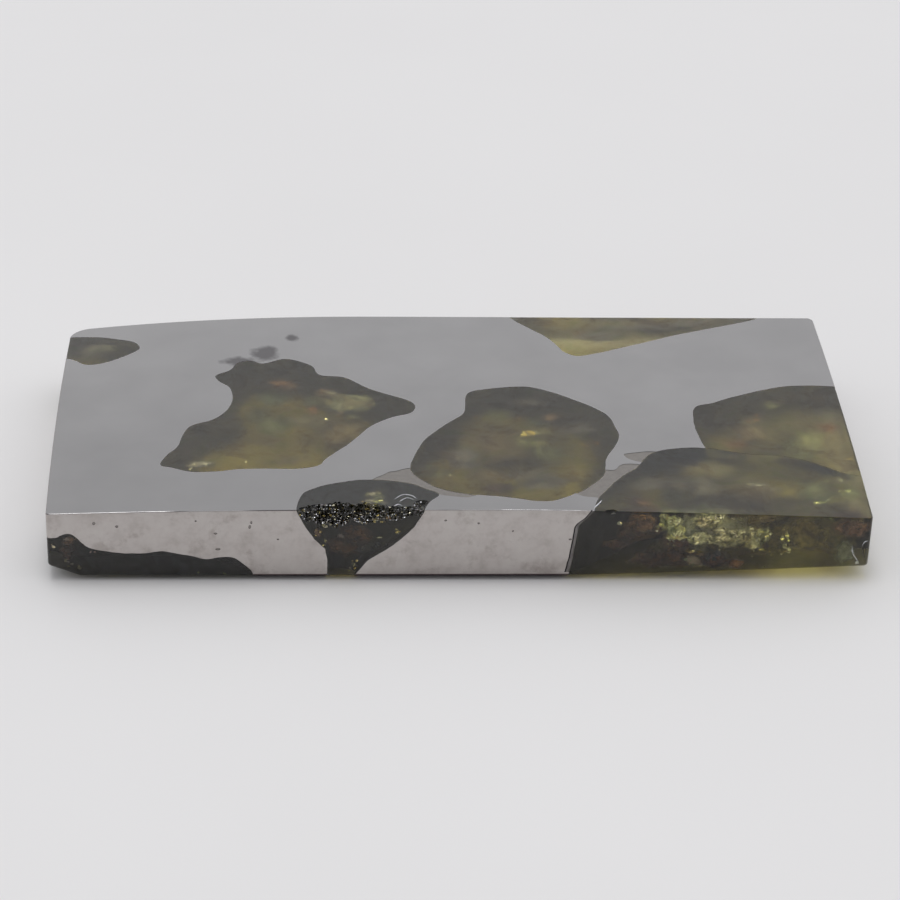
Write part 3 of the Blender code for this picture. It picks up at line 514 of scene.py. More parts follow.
FRONT_SHEETS = {
    "olivine_front_centre": [
        ("amber", (-6.3, 2.2), (0.05, 0.3), (0.25, 0.3), 2, (0.1, 0.3)),
        ("soot", (-4.2, 1.6), (0.1, 0.3), (0.45, 0.22)),
        ("rust", (-4.6, 1.9), (0.3, 0.8), (0.9, 0.6), 3, (0.5, 0.5)),
        ("pale", (-3.6, 2.2), (0.05, 0.1), (0.17, 0.05)),
        ("foil", (-4.7, 0.8), (0.08, 0.15), (0.16, 0.12)),
        ("foil", (-4.9, 0.48), (0.04, 0.08), (0.09, 0.07)),
        ("foil", (-6.05, 2.85), (0.04, 0.12), (0.1, 0.06), 2, (0.1, 0.1)),
        ("foil", (-5.97, 1.9), (0.04, 0.1), (0.05, 0.1), 2, (0.04, 0.2)),
        ("foil", (-2.8, 2.5), (0.05, 0.2), (0.1, 0.1), 3, (0.15, 0.12)),
        ("grey", (-5.3, 2.28), (0.2, 0.4), (0.2, 0.14)),
    ],
    "olivine_front_right": [
        ("rust", (7.5, 2.7), (0.3, 1.0), (0.9, 0.55), 3, (0.5, 0.4)),
        ("amber", (7.8, 2.9), (0.3, 0.8), (0.6, 0.4), 3, (0.3, 0.25)),
        ("rust", (6.7, 1.95), (0.3, 0.8), (0.5, 0.3), 2, (0.25, 0.25)),
        ("veil", (13.6, 2.3), (2.2, 2.6), (4.6, 1.25)),
        ("veil", (10.6, 2.3), (1.8, 2.1), (2.6, 1.2)),
        ("rust", (8.7, 1.5), (0.3, 1.1), (1.0, 0.5), 4, (0.9, 0.5)),
        ("amber", (9.6, 1.0), (0.3, 1.1), (0.7, 0.35), 3, (0.9, 0.3)),
        ("veil", (15.6, 2.3), (1.6, 1.9), (2.5, 1.2)),
        ("green", (10.2, 2.6), (0.5, 0.9), (1.1, 0.6), 2, (0.5, 0.2)),
        ("veil", (11.8, 2.3), (0.5, 0.9), (1.2, 0.8), 2, (0.4, 0.2)),
        ("pale", (11.0, 2.5), (0.4, 0.8), (1.3, 0.7), 3, (0.8, 0.4)),
        ("glint", (10.76, 3.05), (0.2, 0.5), (0.8, 0.4), 2, (0.1, 0.05)),
        ("glint", (11.85, 2.2), (0.2, 0.5), (1.0, 0.5), 3, (0.2, 0.15)),
        ("glint", (10.4, 2.1), (0.15, 0.4), (0.75, 0.42), 2, (0.1, 0.1)),
        ("glint", (9.2, 2.7), (0.2, 0.5), (0.5, 0.35), 3, (0.3, 0.4)),
        ("glint", (12.9, 2.0), (0.3, 0.6), (0.5, 0.45), 3, (0.4, 0.5)),
        ("foil", (9.0, 3.0), (0.1, 0.2), (0.3, 0.18), 4, (0.35, 0.3)),
        ("foil", (9.3, 2.2), (0.1, 0.2), (0.3, 0.18), 3, (0.3, 0.25)),
        ("foil", (10.8, 3.05), (0.08, 0.2), (0.35, 0.16), 5, (0.5, 0.2)),
        ("foil", (10.45, 2.05), (0.08, 0.15), (0.4, 0.22), 4, (0.4, 0.2)),
        ("foil", (11.8, 2.3), (0.08, 0.2), (0.5, 0.2), 7, (0.5, 0.4)),
        ("gold", (10.2, 1.45), (0.15, 0.3), (0.2, 0.1), 2, (0.3, 0.1)),
        ("rust", (11.1, 1.1), (0.2, 0.6), (0.7, 0.5), 2, (0.2, 0.1)),
        ("tan", (10.5, 1.0), (0.5, 1.2), (0.75, 0.38), 2, (0.5, 0.25)),
        ("orange", (12.0, 0.8), (0.15, 0.4), (0.4, 0.3), 2, (0.1, 0.1)),
        ("foil", (13.2, 2.2), (0.15, 0.4), (0.16, 0.1), 6, (0.6, 0.7)),
        ("foil", (14.2, 2.0), (0.15, 0.4), (0.1, 0.2), 5, (0.2, 0.7)),
        ("amber", (17.0, 2.7), (0.4, 0.9), (0.9, 0.45), 2, (0.2, 0.1)),
        ("amber", (17.2, 2.7), (0.3, 0.6), (0.8, 0.5), 2, (0.2, 0.2)),
        ("green", (16.9, 1.5), (0.3, 0.6), (0.6, 0.7)),
        ("frost", (17.76, 1.35), (0.02, 0.06), (0.2, 0.62), 2, (0.02, 0.08)),
        ("frost", (17.5, 0.88), (0.02, 0.06), (0.14, 0.12)),
    ],
    "olivine_front_left": [
        ("amber", (-17.05, 2.05), (0.04, 0.3), (0.36, 0.2), 2, (0.15, 0.1)),
        ("rust", (-17.1, 1.4), (0.1, 0.5), (0.4, 0.35), 2, (0.2, 0.2)),
        ("white", (-17.74, 1.75), (0.03, 0.08), (0.1, 0.1)),
        ("frost", (-16.95, 0.85), (0.02, 0.06), (0.24, 0.08), 3, (0.15, 0.12)),
        ("tan", (-17.15, 2.1), (0.03, 0.1), (0.42, 0.18)),
    ],
}
FILM_THICKNESS = 0.012
FILM_MARGIN = 0.012  # how far inside its crystal a film keeps
FILM_SHARP = 40
FILM_SEED, GRAIN_SEED = 12, 5
FLAKE_POINTS = 9
FLAKE_SIZES = (0.6, 1.2)  # the smallest and the largest as shares of the size given
FLAKE_NARROW, FLAKE_RAGGED = (0.4, 1.0), (0.55, 1.0)  # shares of its length and of its reach
FLAKE_CUP, FLAKE_CRUMPLE = 0.2, 0.08  # how cupped and how uneven it is, as shares of its size
FLAKE_LIFT, FLAKE_MIDDLE = 0.7, 0.5  # its middle rings, as shares of the cup's height and of its reach
FLAKE_LEAN, SHEET_LEAN = 0.4, 0.3  # how unevenly they lie
FLAKE_TRIES, SHEET_TRIES = 10, 12
SHEET_SHRINK = 0.85  # after each try
SHEET_RINGS, SHEET_POINTS = 9, 32
SHEET_RAGGED, SHEET_WAVES = 0.45, 1.8  # how uneven its outline is, as a share of its size, and how often
SHEET_ORIGINS = 50.0  # how far apart the places are whose noise the sheets take
VEIL_POWER = 0.45  # below 1, a veil's outline is squarer
CRUMPLES = [(1.8, 0.07), (4.5, 0.05), (11.0, 0.022)]  # (waves to the millimetre, depth)
FRONT_LEAN = 25  # degrees that the films seen through the front face lean back
# Painted highlights: thin bright lines where an edge is chipped in shells, white tubes for the glint of
# its edges: (crystal, whether on its top face, radius, points)
CURL_HIGHLIGHTS = [
    ("olivine_front_centre", True, 0.024, [(-2.95, -8.1), (-2.6, -7.75), (-2.2, -7.8), (-1.95, -8.1)]),
    ("olivine_front_centre", True, 0.02, [(-2.75, -8.3), (-2.4, -8.0), (-2.05, -8.2)]),
    ("olivine_front_centre", True, 0.026, [(-3.0, -8.7), (-2.8, -8.55), (-2.6, -8.7)]),
    ("olivine_front_right", True, 0.03, [
        (5.72, -8.9), (5.78, -8.66), (5.94, -8.42), (6.08, -8.18), (6.14, -8.06),
    ]),
    ("olivine_front_right", False, 0.018, [(17.15, 1.6), (17.28, 1.3), (17.45, 1.05), (17.5, 0.9)]),
    ("olivine_front_right", False, 0.012, [(17.2, 1.75), (17.22, 1.5), (17.35, 1.3)]),
    ("olivine_front_right", False, 0.014, [(17.85, 2.0), (17.72, 1.95), (17.62, 1.7)]),
]
CURL_SIDES = 6

# The camera stands where the photograph was taken from: its place in millimetres, and how it is turned
CAMERA_PLACE = (-7.88, -119.42, 70.95)
CAMERA_PITCH, CAMERA_YAW, CAMERA_ROLL = 30.18, 3.74, 1.96
FOCAL_PIXELS = 2991  # for a picture 900 pixels wide
PICTURE_PIXELS = 900
SENSOR = 36.0
CLIP = (MM, 10.0)  # in metres, as the floor's size and the lamp's values are

FLOOR_SIZE, FLOOR_STEPS = 4.0, 8
FLOOR_GAP = 0.01  # the floor lies this far under the slice, in millimetres
LAMP_PLACE, LAMP_SIZE = (-0.03, 0.03, 0.45), 0.16
LAMP_POWER, LAMP_COLOUR = 0.47, (1.0, 0.995, 0.985)
FRONT_SKY, OPEN_SKY = (0.23, 0.23, 0.24), (0.875, 0.875, 0.885)
SKY_RANGE = (-0.35, 0.6)  # where the sky changes from one to the other


# Drawing in millimetres


def share(value, start, end):
    """0 at start, 1 at end, and level beyond both."""
    return min(max((value - start) / (end - start), 0.0), 1.0)


def top_fall(x, y):
    """How far the top face lies below its crown."""
    back = share(y, -WIDTH / 2, WIDTH / 2)
    left = share(x, LEFT_FALL_FROM, -LENGTH / 2) ** LEFT_FALL_POWER
    right = share(x, RIGHT_FALL_FROM, LENGTH / 2) ** RIGHT_FALL_POWER
    left_depth = LEFT_FALL_FRONT + (LEFT_FALL_BACK - LEFT_FALL_FRONT) * back**2
    return left * left_depth + right * RIGHT_FALL_FRONT * (1 - back)


def top_height(x, y):
    return HEIGHT - top_fall(x, y)


def bottom_rise(x, y):
    """How far the underside lies above the resting plane."""
    right = share(x, RIGHT_RISE_FROM, LENGTH / 2) ** RIGHT_RISE_POWER * RIGHT_RISE
    edge = share(abs(y), EDGE_RISE_FROM, WIDTH / 2) ** EDGE_RISE_POWER * EDGE_RISE
    worn = share(x, WORN_FROM, -LENGTH / 2) * WORN_RISE * share(-y, 0.0, WIDTH / 2)
    return right + edge + worn


def mesh_of(shape, name):
    """The mesh of a closed shape drawn in millimetres, with its faces turned outwards."""
    bmesh.ops.triangulate(shape, faces=shape.faces)
    bmesh.ops.recalc_face_normals(shape, faces=shape.faces)
    bmesh.ops.scale(shape, vec=(MM, MM, MM), verts=shape.verts)
    mesh = bpy.data.meshes.new(name)
    shape.to_mesh(mesh)
    shape.free()
    return mesh


def new_object(name, mesh):
    thing = bpy.data.objects.new(name, mesh)
    bpy.context.scene.collection.objects.link(thing)
    return thing


def skin(shape, rings):
    """Walls between neighbouring rings, and a cap at each end."""
    rows = [[shape.verts.new(point) for point in ring] for ring in rings]
    count = len(rows[0])
    for row, ahead in zip(rows, rows[1:]):
        for i in range(count):
            j = (i + 1) % count
            shape.faces.new((row[i], row[j], ahead[j], ahead[i]))
    shape.faces.new(rows[0])
    shape.faces.new(rows[-1])


def plan_outline(inset):
    """The slice seen from above, drawn in by the inset: a rectangle with round corners and bowed ends."""
    half_x, half_y = LENGTH / 2 - END_BOW, WIDTH / 2
    corners = [
        ("front left", -1, -1, pi), ("front right", 1, -1, 1.5 * pi),
        ("back right", 1, 1, 0.0), ("back left", -1, 1, 0.5 * pi),
    ]
    points = []
    for name, x_side, y_side, start in corners:
        radius = CORNER_RADII[name]
        middle_x, middle_y = x_side * (half_x - radius), y_side * (half_y - radius)
        for step in range(ARC_STEPS + 1):
            angle = start + step * pi / 2 / ARC_STEPS
            reach = radius - inset
            points.append((middle_x + reach * cos(angle), middle_y + reach * sin(angle)))
        if x_side * y_side < 0:
            points += [(x_side * (half_x - inset), x_side * y) for y in END_POINTS]
    bow = [END_BOW * (1 - (y / half_y) ** 2) for _, y in points]
    return [(x + (b if x > 0 else -b), y) for (x, y), b in zip(points, bow)]


def slice_mesh(name, inset=0.0):
    """The whole slice with no pockets, its edges rounded by the arris, drawn in by the inset."""
    turn = [step * pi / 2 / ARRIS_STEPS for step in range(ARRIS_STEPS + 1)]
    edge = [(ARRIS * (1 - sin(a)), ARRIS * (1 - cos(a))) for a in turn]
    lower = ARRIS_BELOW / ARRIS
    levels = [(inset + inwards * lower, inset + up * lower) for inwards, up in edge]
    levels += [(inset + inwards, HEIGHT - inset - up) for inwards, up in reversed(edge)]
    shape = bmesh.new()
    skin(shape, [[Vector((x, y, z)) for x, y in plan_outline(inwards)] for inwards, z in levels])
    lines = [(Vector((x, 0, 0)), Vector((1, 0, 0))) for x in X_LINES]
    lines += [(Vector((0, y, 0)), Vector((0, 1, 0))) for y in Y_LINES]
    for place, across in lines:
        everything = shape.verts[:] + shape.edges[:] + shape.faces[:]
        bmesh.ops.bisect_plane(shape, geom=everything, plane_co=place, plane_no=across, dist=MERGE)
    for vertex in shape.verts:
        x, y, z = vertex.co
        vertex.co.z = z - top_fall(x, y) if z > HEIGHT / 2 else z + bottom_rise(x, y)
    return mesh_of(shape, name)


def span(corners, steps):
    """One span of a Catmull-Rom curve, from the second of four corners up to the third."""
    before, start, end, after = (Vector(corner) for corner in corners)
    points = []
    for step in range(steps):
        t = step / steps
        points.append(
            start
            + (end - before) * (t / 2)
            + (before * 2 - start * 5 + end * 4 - after) * (t * t / 2)
            + (start * 3 - before - end * 3 + after) * (t**3 / 2)
        )
    return points


def smooth_ring(points, steps=SPAN_STEPS):
    """A smooth closed line through the points, as short straight pieces."""
    count = len(points)
    ring = []
    for i in range(count):
        ring += span([points[(i + k) % count] for k in (-1, 0, 1, 2)], steps)
    return ring


def smooth_line(points, steps=SPAN_STEPS):
    """A smooth open line through the points."""
    last = len(points) - 1
    line = []
    for i in range(last):
        line += span([points[min(max(i + k, 0), last)] for k in (-1, 0, 1, 2)], steps)
    return line


def section_rings(outline, middle_changes, bottom_changes):
    """Rings of one crystal: its outline on top, and stretched and shifted in the middle and below."""
    coarse = smooth_ring(outline, SOLID_STEPS)
    middle = sum(coarse, Vector((0.0, 0.0))) / len(coarse)
    rings = []
    changes = zip((TOP, MIDDLE, BOTTOM), (UNCHANGED, middle_changes, bottom_changes))
    for height, (stretch_x, stretch_y, shift_x, shift_y) in changes:
        rings.append([
            Vector((
                middle.x + (p.x - middle.x) * stretch_x + shift_x,
                middle.y + (p.y - middle.y) * stretch_y + shift_y,
                height,
            ))
            for p in smooth_ring(outline)
        ])
    return rings


def front_centre_rings():
    """Each ring is the outline drawn in between the two walls at that height."""
    flat = smooth_ring(FRONT_CENTRE)
    _, top_left, top_right, _ = FRONT_CENTRE_WALLS[0]
    rings = []
    for height, left, right, depth in FRONT_CENTRE_WALLS:
        narrowed = (right - left) / (top_right - top_left)
        rings.append([
            Vector((left + (p.x - top_left) * narrowed, FRONT + (p.y - FRONT) * depth, height))
            for p in flat
        ])
    return rings


def front_right_rings():
    flat = smooth_ring(FRONT_RIGHT)
    return [
        [Vector((p.x + shift, p.y, height)) for p in flat] for height, shift in FRONT_RIGHT_SHIFTS
    ]


def front_left_rings():
    """Rings from the front face backwards."""
    flat = smooth_ring(FRONT_LEFT_PROFILE)
    left, bottom = FRONT_LEFT_PROFILE[0]
    return [
        [Vector((left + (p.x - left) * long, y, bottom + (p.y - bottom) * tall)) for p in flat]
        for y, tall, long in FRONT_LEFT_SLICES
    ]


def crystal_rings():
    """Each crystal's name and its rings."""
    rings = {name: section_rings(*how) for name, how in SECTIONS.items()}
    rings["olivine_front_centre"] = front_centre_rings()
    rings["olivine_front_right"] = front_right_rings()
    rings["olivine_front_left"] = front_left_rings()
    return rings


def filled_in(rings):
    """The same rings with more between them, so that no row of faces is taller than ROW_HEIGHT."""
    rows = []
    for ring, ahead in zip(rings, rings[1:]):
        far = max((b - a).length for a, b in zip(ring, ahead))
        steps = max(1, round(far / ROW_HEIGHT))
        for step in range(steps):
            rows.append([a.lerp(b, step / steps) for a, b in zip(ring, ahead)])
    return rows + [rings[-1]]


def layered(point, layers):
    """Noise at a point, added up from layers: (waves to the millimetre, depth)."""
    return sum(depth * noise.noise(point * often) for often, depth in layers)


def loft_mesh(name, rings, outset=0.0):
    """A closed, slightly wavy body through the rings, swollen along its own normals by the outset."""
    shape = bmesh.new()
    skin(shape, filled_in(rings))
    bmesh.ops.recalc_face_normals(shape, faces=shape.faces)
    moves = [vertex.normal * (outset + layered(vertex.co, WAVINESS)) for vertex in shape.verts]
    for vertex, move in zip(shape.verts, moves):
        vertex.co += move
    return mesh_of(shape, name)


def carved(thing, tools, how="DIFFERENCE", crossing=False):
    """Cuts each tool out of the object, or keeps what is inside them. Cut faces keep the tool's material.

    A tool so uneven that it may cross itself takes a slower way.
    """
    for tool in tools:
        step = thing.modifiers.new(tool.name, "BOOLEAN")
        step.operation = how
        step.solver = "EXACT"
        step.use_self = crossing
        step.material_mode = "TRANSFER"
        step.object = tool
    depsgraph = bpy.context.evaluated_depsgraph_get()
    mesh = bpy.data.meshes.new_from_object(thing.evaluated_get(depsgraph))
    thing.modifiers.clear()
    thing.data = mesh


def remove(things):
    for thing in things:
        bpy.data.objects.remove(thing, do_unlink=True)


def polished_normal(x, y, upper):
    """The direction that the rounded top face or underside looks in at a point."""
    height = top_height if upper else bottom_rise
    slope_x = (height(x + SLOPE_STEP, y) - height(x - SLOPE_STEP, y)) / (2 * SLOPE_STEP)
    slope_y = (height(x, y + SLOPE_STEP) - height(x, y - SLOPE_STEP)) / (2 * SLOPE_STEP)
    outwards = Vector((-slope_x, -slope_y, 1.0)).normalized()
    return outwards if upper else -outwards


def shade(mesh):
    """Smooth, with sharp edges, and with the true curve of the polished faces in their normals."""
    mesh.shade_smooth()
    mesh.set_sharp_from_angle(angle=radians(SHARP))
    normals = [(0.0, 0.0, 0.0)] * len(mesh.loops)
    for face in mesh.polygons:
        x, y, z = face.center / MM
        for upper, height in ((True, top_height), (False, bottom_rise)):
            if abs(z - height(x, y)) < POLISHED_NEAR and abs(face.normal.z) > POLISHED_UPRIGHT:
                for i in face.loop_indices:
                    place = mesh.vertices[mesh.loops[i].vertex_index].co / MM
                    normals[i] = polished_normal(place.x, place.y, upper)
    mesh.normals_split_custom_set(normals)


# Materials


def new_material(name):
    look = bpy.data.materials.new(name)
    look.use_nodes = True
    return look, look.node_tree, look.node_tree.nodes["Principled BSDF"]


def feed(tree, socket, value):
    """Links an input to another node's output, or sets it to a value. A colour has no alpha of its own."""
    if isinstance(value, bpy.types.NodeSocket):
        tree.links.new(value, socket)
    elif socket.type == "RGBA":
        socket.default_value = (*value, 1.0)
    else:
        socket.default_value = value


def add(tree, kind, inputs, **settings):
    """A new node with its settings and its inputs."""
    made = tree.nodes.new(kind)
    for key, value in settings.items():
        setattr(made, key, value)
    for key, value in inputs.items():
        feed(tree, made.inputs[key], value)
    return made


def plug(tree, shader, **inputs):
    """A shader's inputs, named with underscores for spaces."""
    for key, value in inputs.items():
        feed(tree, shader.inputs[key.replace("_", " ")], value)


def millimetres(tree, stretch=(1, 1, 1)):
    """Places on the object in millimetres, stretched along each axis."""
    place = add(tree, "ShaderNodeTexCoord", {}).outputs["Object"]
    inputs = {"Vector": place, "Scale": [s / MM for s in stretch]}
    return add(tree, "ShaderNodeMapping", inputs).outputs["Vector"]


def parts_of(tree, vector):
    """The X, Y and Z of a vector."""
    return add(tree, "ShaderNodeSeparateXYZ", {"Vector": vector}).outputs


def upward(tree):
    """How far the surface faces up at each place: 1 on top, 0 on a side and -1 below."""
    return parts_of(tree, add(tree, "ShaderNodeTexCoord", {}).outputs["Normal"])["Z"]


def waves(tree, often, detail=3, roughness=0.5, stretch=(1, 1, 1), distortion=0.0):
    """Noise with a number of waves to the millimetre."""
    inputs = {
        "Vector": millimetres(tree, stretch), "Scale": often, "Detail": detail,
        "Roughness": roughness, "Distortion": distortion,
    }
    return add(tree, "ShaderNodeTexNoise", inputs).outputs["Fac"]


def clouds(tree, name, **changes):
    """One of the noises by its name, with some of its settings changed."""
    return waves(tree, **{**CLOUDS[name], **changes})


def ramp(tree, value, stops):
    """Colours along a value from 0 to 1: (place, colour)."""
    made = add(tree, "ShaderNodeValToRGB", {"Fac": value})
    stops = list(stops)
    points = made.color_ramp.elements
    while len(points) < len(stops):
        points.new(0.5)
    for point, (place, colour) in zip(points, stops):
        point.position = place
        point.color = (*colour, 1.0)
    return made.outputs["Color"]


def spread(tree, value, low, high, to_low=0.0, to_high=1.0):
    """The value taken from one range to another, and level beyond both ends."""
    inputs = {
        "Value": value, "From Min": low, "From Max": high, "To Min": to_low, "To Max": to_high,
    }
    return add(tree, "ShaderNodeMapRange", inputs).outputs["Result"]


def varied(tree, cloud, values):
    """A value that follows a noise, from the first of two values to the second."""
    return spread(tree, cloud, *CLOUD_RANGE, *values)


def blend(tree, factor, first, second, how="MIX"):
    """Two colours mixed. The node has sockets of one name for each kind of value, told apart by number."""
    made = add(tree, "ShaderNodeMix", {"Factor": factor}, data_type="RGBA", blend_type=how)
    feed(tree, made.inputs[6], first)
    feed(tree, made.inputs[7], second)
    return made.outputs[2]


def multiplied(tree, colour, by, factor=1.0):
    return blend(tree, factor, colour, by, how="MULTIPLY")


def blend_value(tree, factor, first, second):
    inputs = {"Factor": factor, "A": first, "B": second}
    return add(tree, "ShaderNodeMix", inputs, data_type="FLOAT").outputs["Result"]


def math(tree, how, *values):
    made = add(tree, "ShaderNodeMath", {}, operation=how)
    for socket, value in zip(made.inputs, values):
        feed(tree, socket, value)
    return made.outputs["Value"]


def bump(tree, height, name, under=None):
    """One of the bumps by its name, on top of another where one is given."""
    distance, strength = BUMPS[name]
    inputs = {"Height": height, "Distance": distance * MM, "Strength": strength}
    if under is not None:
        inputs["Normal"] = under
    return add(tree, "ShaderNodeBump", inputs).outputs["Normal"]


def smudged(tree, place):
    """How dark the polished metal is stained at each place, from 0 to 1."""
    darkest = 0.0
    for x, y, radius_x, radius_y in SMUDGES:
        across = math(tree, "DIVIDE", math(tree, "SUBTRACT", place["X"], x), radius_x)
        along = math(tree, "DIVIDE", math(tree, "SUBTRACT", place["Y"], y), radius_y)
        squares = [math(tree, "POWER", part, 2.0) for part in (across, along)]
        away = math(tree, "SQRT", math(tree, "ADD", *squares))
        darkest = math(tree, "MAXIMUM", math(tree, "SUBTRACT", 1.0, away), darkest)
    ragged = math(tree, "MULTIPLY", clouds(tree, "smudges"), SMUDGE_RAGGED)
    return spread(tree, math(tree, "ADD", darkest, ragged), *SMUDGE_RANGE)


def polished_colour(tree):
    """The top face is painted a little darker towards its front left, as painted shade, and smudged behind
    the left crystal.
    """
    place = parts_of(tree, millimetres(tree))
    backwards = math(tree, "ADD", place["Y"], math(tree, "MULTIPLY", place["X"], TOP_SLANT))
    fall = spread(tree, backwards, *TOP_PAINTED_SHADE)
    painted_shade_tint = add(tree, "ShaderNodeCombineXYZ", {"X": fall, "Y": fall, "Z": fall}).outputs["Vector"]
    colour = multiplied(tree, ramp(tree, clouds(tree, "polish"), POLISHED_SHADE_TONES), painted_shade_tint)
    return blend(tree, smudged(tree, place), colour, multiplied(tree, colour, SMUDGE_TONE))


def iron_nickel():
    """Polished above and below, and only ground on the cut edges, where fine upright scratches show."""
    look, tree, shader = new_material("iron_nickel")
    up = upward(tree)
    polished = spread(tree, math(tree, "ABSOLUTE", up), *POLISHED_FACING)
    ground = clouds(tree, "ground")
    stains = ramp(tree, clouds(tree, "stains"), GROUND_STAINS)
    ground_colour = multiplied(tree, ramp(tree, ground, GROUND_LIGHT_TONES), stains)
    # the polished faces' darker tones are painted shade, and the ground faces' lighter ones painted light
    colour = blend(tree, polished, ground_colour, polished_colour(tree))
    # The rounded arris is painted bright in places and dark in others: painted highlight and painted shade
    away = math(tree, "ABSOLUTE", math(tree, "SUBTRACT", up, ARRIS_FACING))
    arris = spread(tree, away, *ARRIS_SHEEN_RANGE, 1.0, 0.0)
    colour = blend(tree, arris, colour, ramp(tree, clouds(tree, "arris sheen"), ARRIS_SHEEN_TONES))
    # and the lower one, with the underside, is painted dark: painted shade of the narrow gap under the
    # slice
    colour = blend(tree, spread(tree, up, *SHADED_LOWER_EDGE_FACING), colour, LOWER_EDGE_SHADE)
    grain = clouds(tree, "grain")
    rough = blend_value(
        tree, polished, varied(tree, ground, ROUGH["ground"]), varied(tree, grain, ROUGH["polished"])
    )
    lines = blend_value(tree, polished, clouds(tree, "scratches"), clouds(tree, "hairlines"))
    depth = bump(tree, grain, "grain", under=bump(tree, lines, "scratches"))
    plug(tree, shader, Base_Color=colour, Metallic=1.0, Roughness=rough, Normal=depth)
    return look


def sulphide():
    """Troilite: a browner, duller grey than the metal, with a fine grain."""
    look, tree, shader = new_material("iron_sulphide")
    grain = clouds(tree, "sulphide")
    plug(
        tree, shader, Base_Color=ramp(tree, grain, SULPHIDE_TONES), Metallic=1.0,
        Roughness=varied(tree, grain, ROUGH["sulphide"]), Normal=bump(tree, grain, "sulphide"),
    )
    return look


def rim_metal():
    """The grey rim between the crack and the crystal: a phosphide that takes a duller polish."""
    look, tree, shader = new_material("grey_rim")
    grain = clouds(tree, "rim")
    plug(
        tree, shader, Base_Color=ramp(tree, grain, RIM_TONES), Metallic=1.0,
        Roughness=varied(tree, grain, ROUGH["rim"]), Normal=bump(tree, grain, "rim"),
    )
    return look


def painted_shade_wall(name, brightness):
    """The uneven metal behind a crystal, painted dark as painted shade."""
    look, tree, shader = new_material(name)
    blotch = clouds(tree, "wall")
    tones = [(place, [part * brightness for part in tone]) for place, tone in WALL_SHADE_TONES]
    plug(
        tree, shader, Base_Color=ramp(tree, blotch, tones), Metallic=WALL_METALLIC,
        Roughness=WALL_ROUGHNESS, Normal=bump(tree, blotch, "wall"),
    )
    return look


def olivine(name):
    """See-through crystal, unevenly stained, that darkens with depth. Its polished faces are hazy."""
    look, tree, shader = new_material(name)
    mottle = ramp(tree, clouds(tree, "crystal mottle"), OLIVINE_MOTTLE)
    colour = multiplied(tree, ramp(tree, clouds(tree, "crystal stains"), OLIVINE_TINTS), mottle)
    up = upward(tree)
    # Light that has gone all the way through is the yellowest
    colour = multiplied(tree, colour, UNDERSIDE_TINT, factor=spread(tree, up, *UNDERSIDE_FACING))
    haze = clouds(tree, "crystal haze")
    clear, hazy = varied(tree, haze, ROUGH["clear crystal"]), varied(tree, haze, ROUGH["hazy crystal"])
    plug(
        tree, shader, Base_Color=colour, IOR=OLIVINE_IOR, Transmission_Weight=1.0,
        Roughness=blend_value(tree, spread(tree, up, *HAZY_FACING), clear, hazy),
        Normal=bump(tree, clouds(tree, "crystal face"), "crystal"),
    )
    inside = add(tree, "ShaderNodeVolumeAbsorption", {"Color": ABSORBED, "Density": DENSITY})
    tree.links.new(inside.outputs["Volume"], tree.nodes["Material Output"].inputs["Volume"])
    return look


def fracture(name, dark, light, metallic, rough):
    """A mottled film inside a crystal, which mirrors what comes through to it and thins out to its rim."""
    look, tree, shader = new_material(name)
    rim = add(tree, "ShaderNodeAttribute", {}, attribute_name=FADE).outputs["Fac"]
    ragged = math(tree, "MULTIPLY", clouds(tree, "film rim"), FADE_RAGGED)
    mottle = clouds(tree, "film mottle", often=MOTTLE_WAVES + metallic, distortion=metallic)
    plug(
        tree, shader, Base_Color=ramp(tree, mottle, zip(MOTTLE_RANGE, (dark, light))), Metallic=metallic,
        Roughness=varied(tree, mottle, [rough * part for part in FILM_ROUGH]),
        Normal=bump(tree, clouds(tree, "film face"), "film"),
        Alpha=spread(tree, math(tree, "ADD", rim, ragged), *FADE_RANGE, 1.0, 0.0),
    )
    return look


def floor_material():
    look, tree, shader = new_material("pale_floor")
    plug(
        tree, shader, Base_Color=ramp(tree, clouds(tree, "floor tone"), FLOOR_TONES),
        Roughness=FLOOR_ROUGHNESS, Specular_IOR_Level=FLOOR_GLOSS,
        Normal=bump(tree, clouds(tree, "floor face"), "floor"),
    )
    return look


# The metal and the crystals


def declare(thing, slot, *nodes):
    """Ties a piece to the object, and hides the solids that it stands for."""
    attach(thing, BODY)
    if nodes:
        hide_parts(*nodes)
    return thing


def tool_of(name, mesh, material):
    """A cutter, which leaves its material on what it cuts."""
    tool = new_object(name, mesh)
    tool.data.materials.append(material)
    return tool


def prism_tool(name, low, high, material):
    """A cutter between two rings."""
    shape = bmesh.new()
    skin(shape, [low, high])
    return tool_of(name, mesh_of(shape, name), material)


def wobbly(ring):
    """The ring with the unevenness of a natural edge."""
    return [
        p + Vector((layered(p.to_3d(), WAVINESS), layered(p.to_3d() + ELSEWHERE, WAVINESS)))
        for p in ring
    ]


def top_patch(name, outline, depth, material):
    """Cuts a shallow patch whose floor follows the top face."""
    ring = wobbly(smooth_ring(outline))
    low = [Vector((p.x, p.y, top_height(p.x, p.y) - depth)) for p in ring]
    high = [Vector((p.x, p.y, HEIGHT + BEYOND)) for p in ring]
    return prism_tool(name, low, high, material)


def front_patch(name, ring, depth, material, beyond=BEYOND):
    """Cuts a shallow patch into the front face."""
    low = [Vector((p.x, FRONT + depth, p.y)) for p in ring]
    high = [Vector((p.x, FRONT - beyond, p.y)) for p in ring]
    return prism_tool(name, low, high, material)


def oval(middle_x, middle_y, radius_x, radius_y):
    angles = [2 * pi * i / OVAL_POINTS for i in range(OVAL_POINTS)]
    return [(middle_x + radius_x * cos(a), middle_y + radius_y * sin(a)) for a in angles]


def beside(line, left, right):
    """A closed ring along a smooth line, reaching out to the left and to the right of it."""
    path = wobbly(smooth_line(line))
    return [p - Vector((left, 0.0)) for p in path] + [p + Vector((right, 0.0)) for p in reversed(path)]


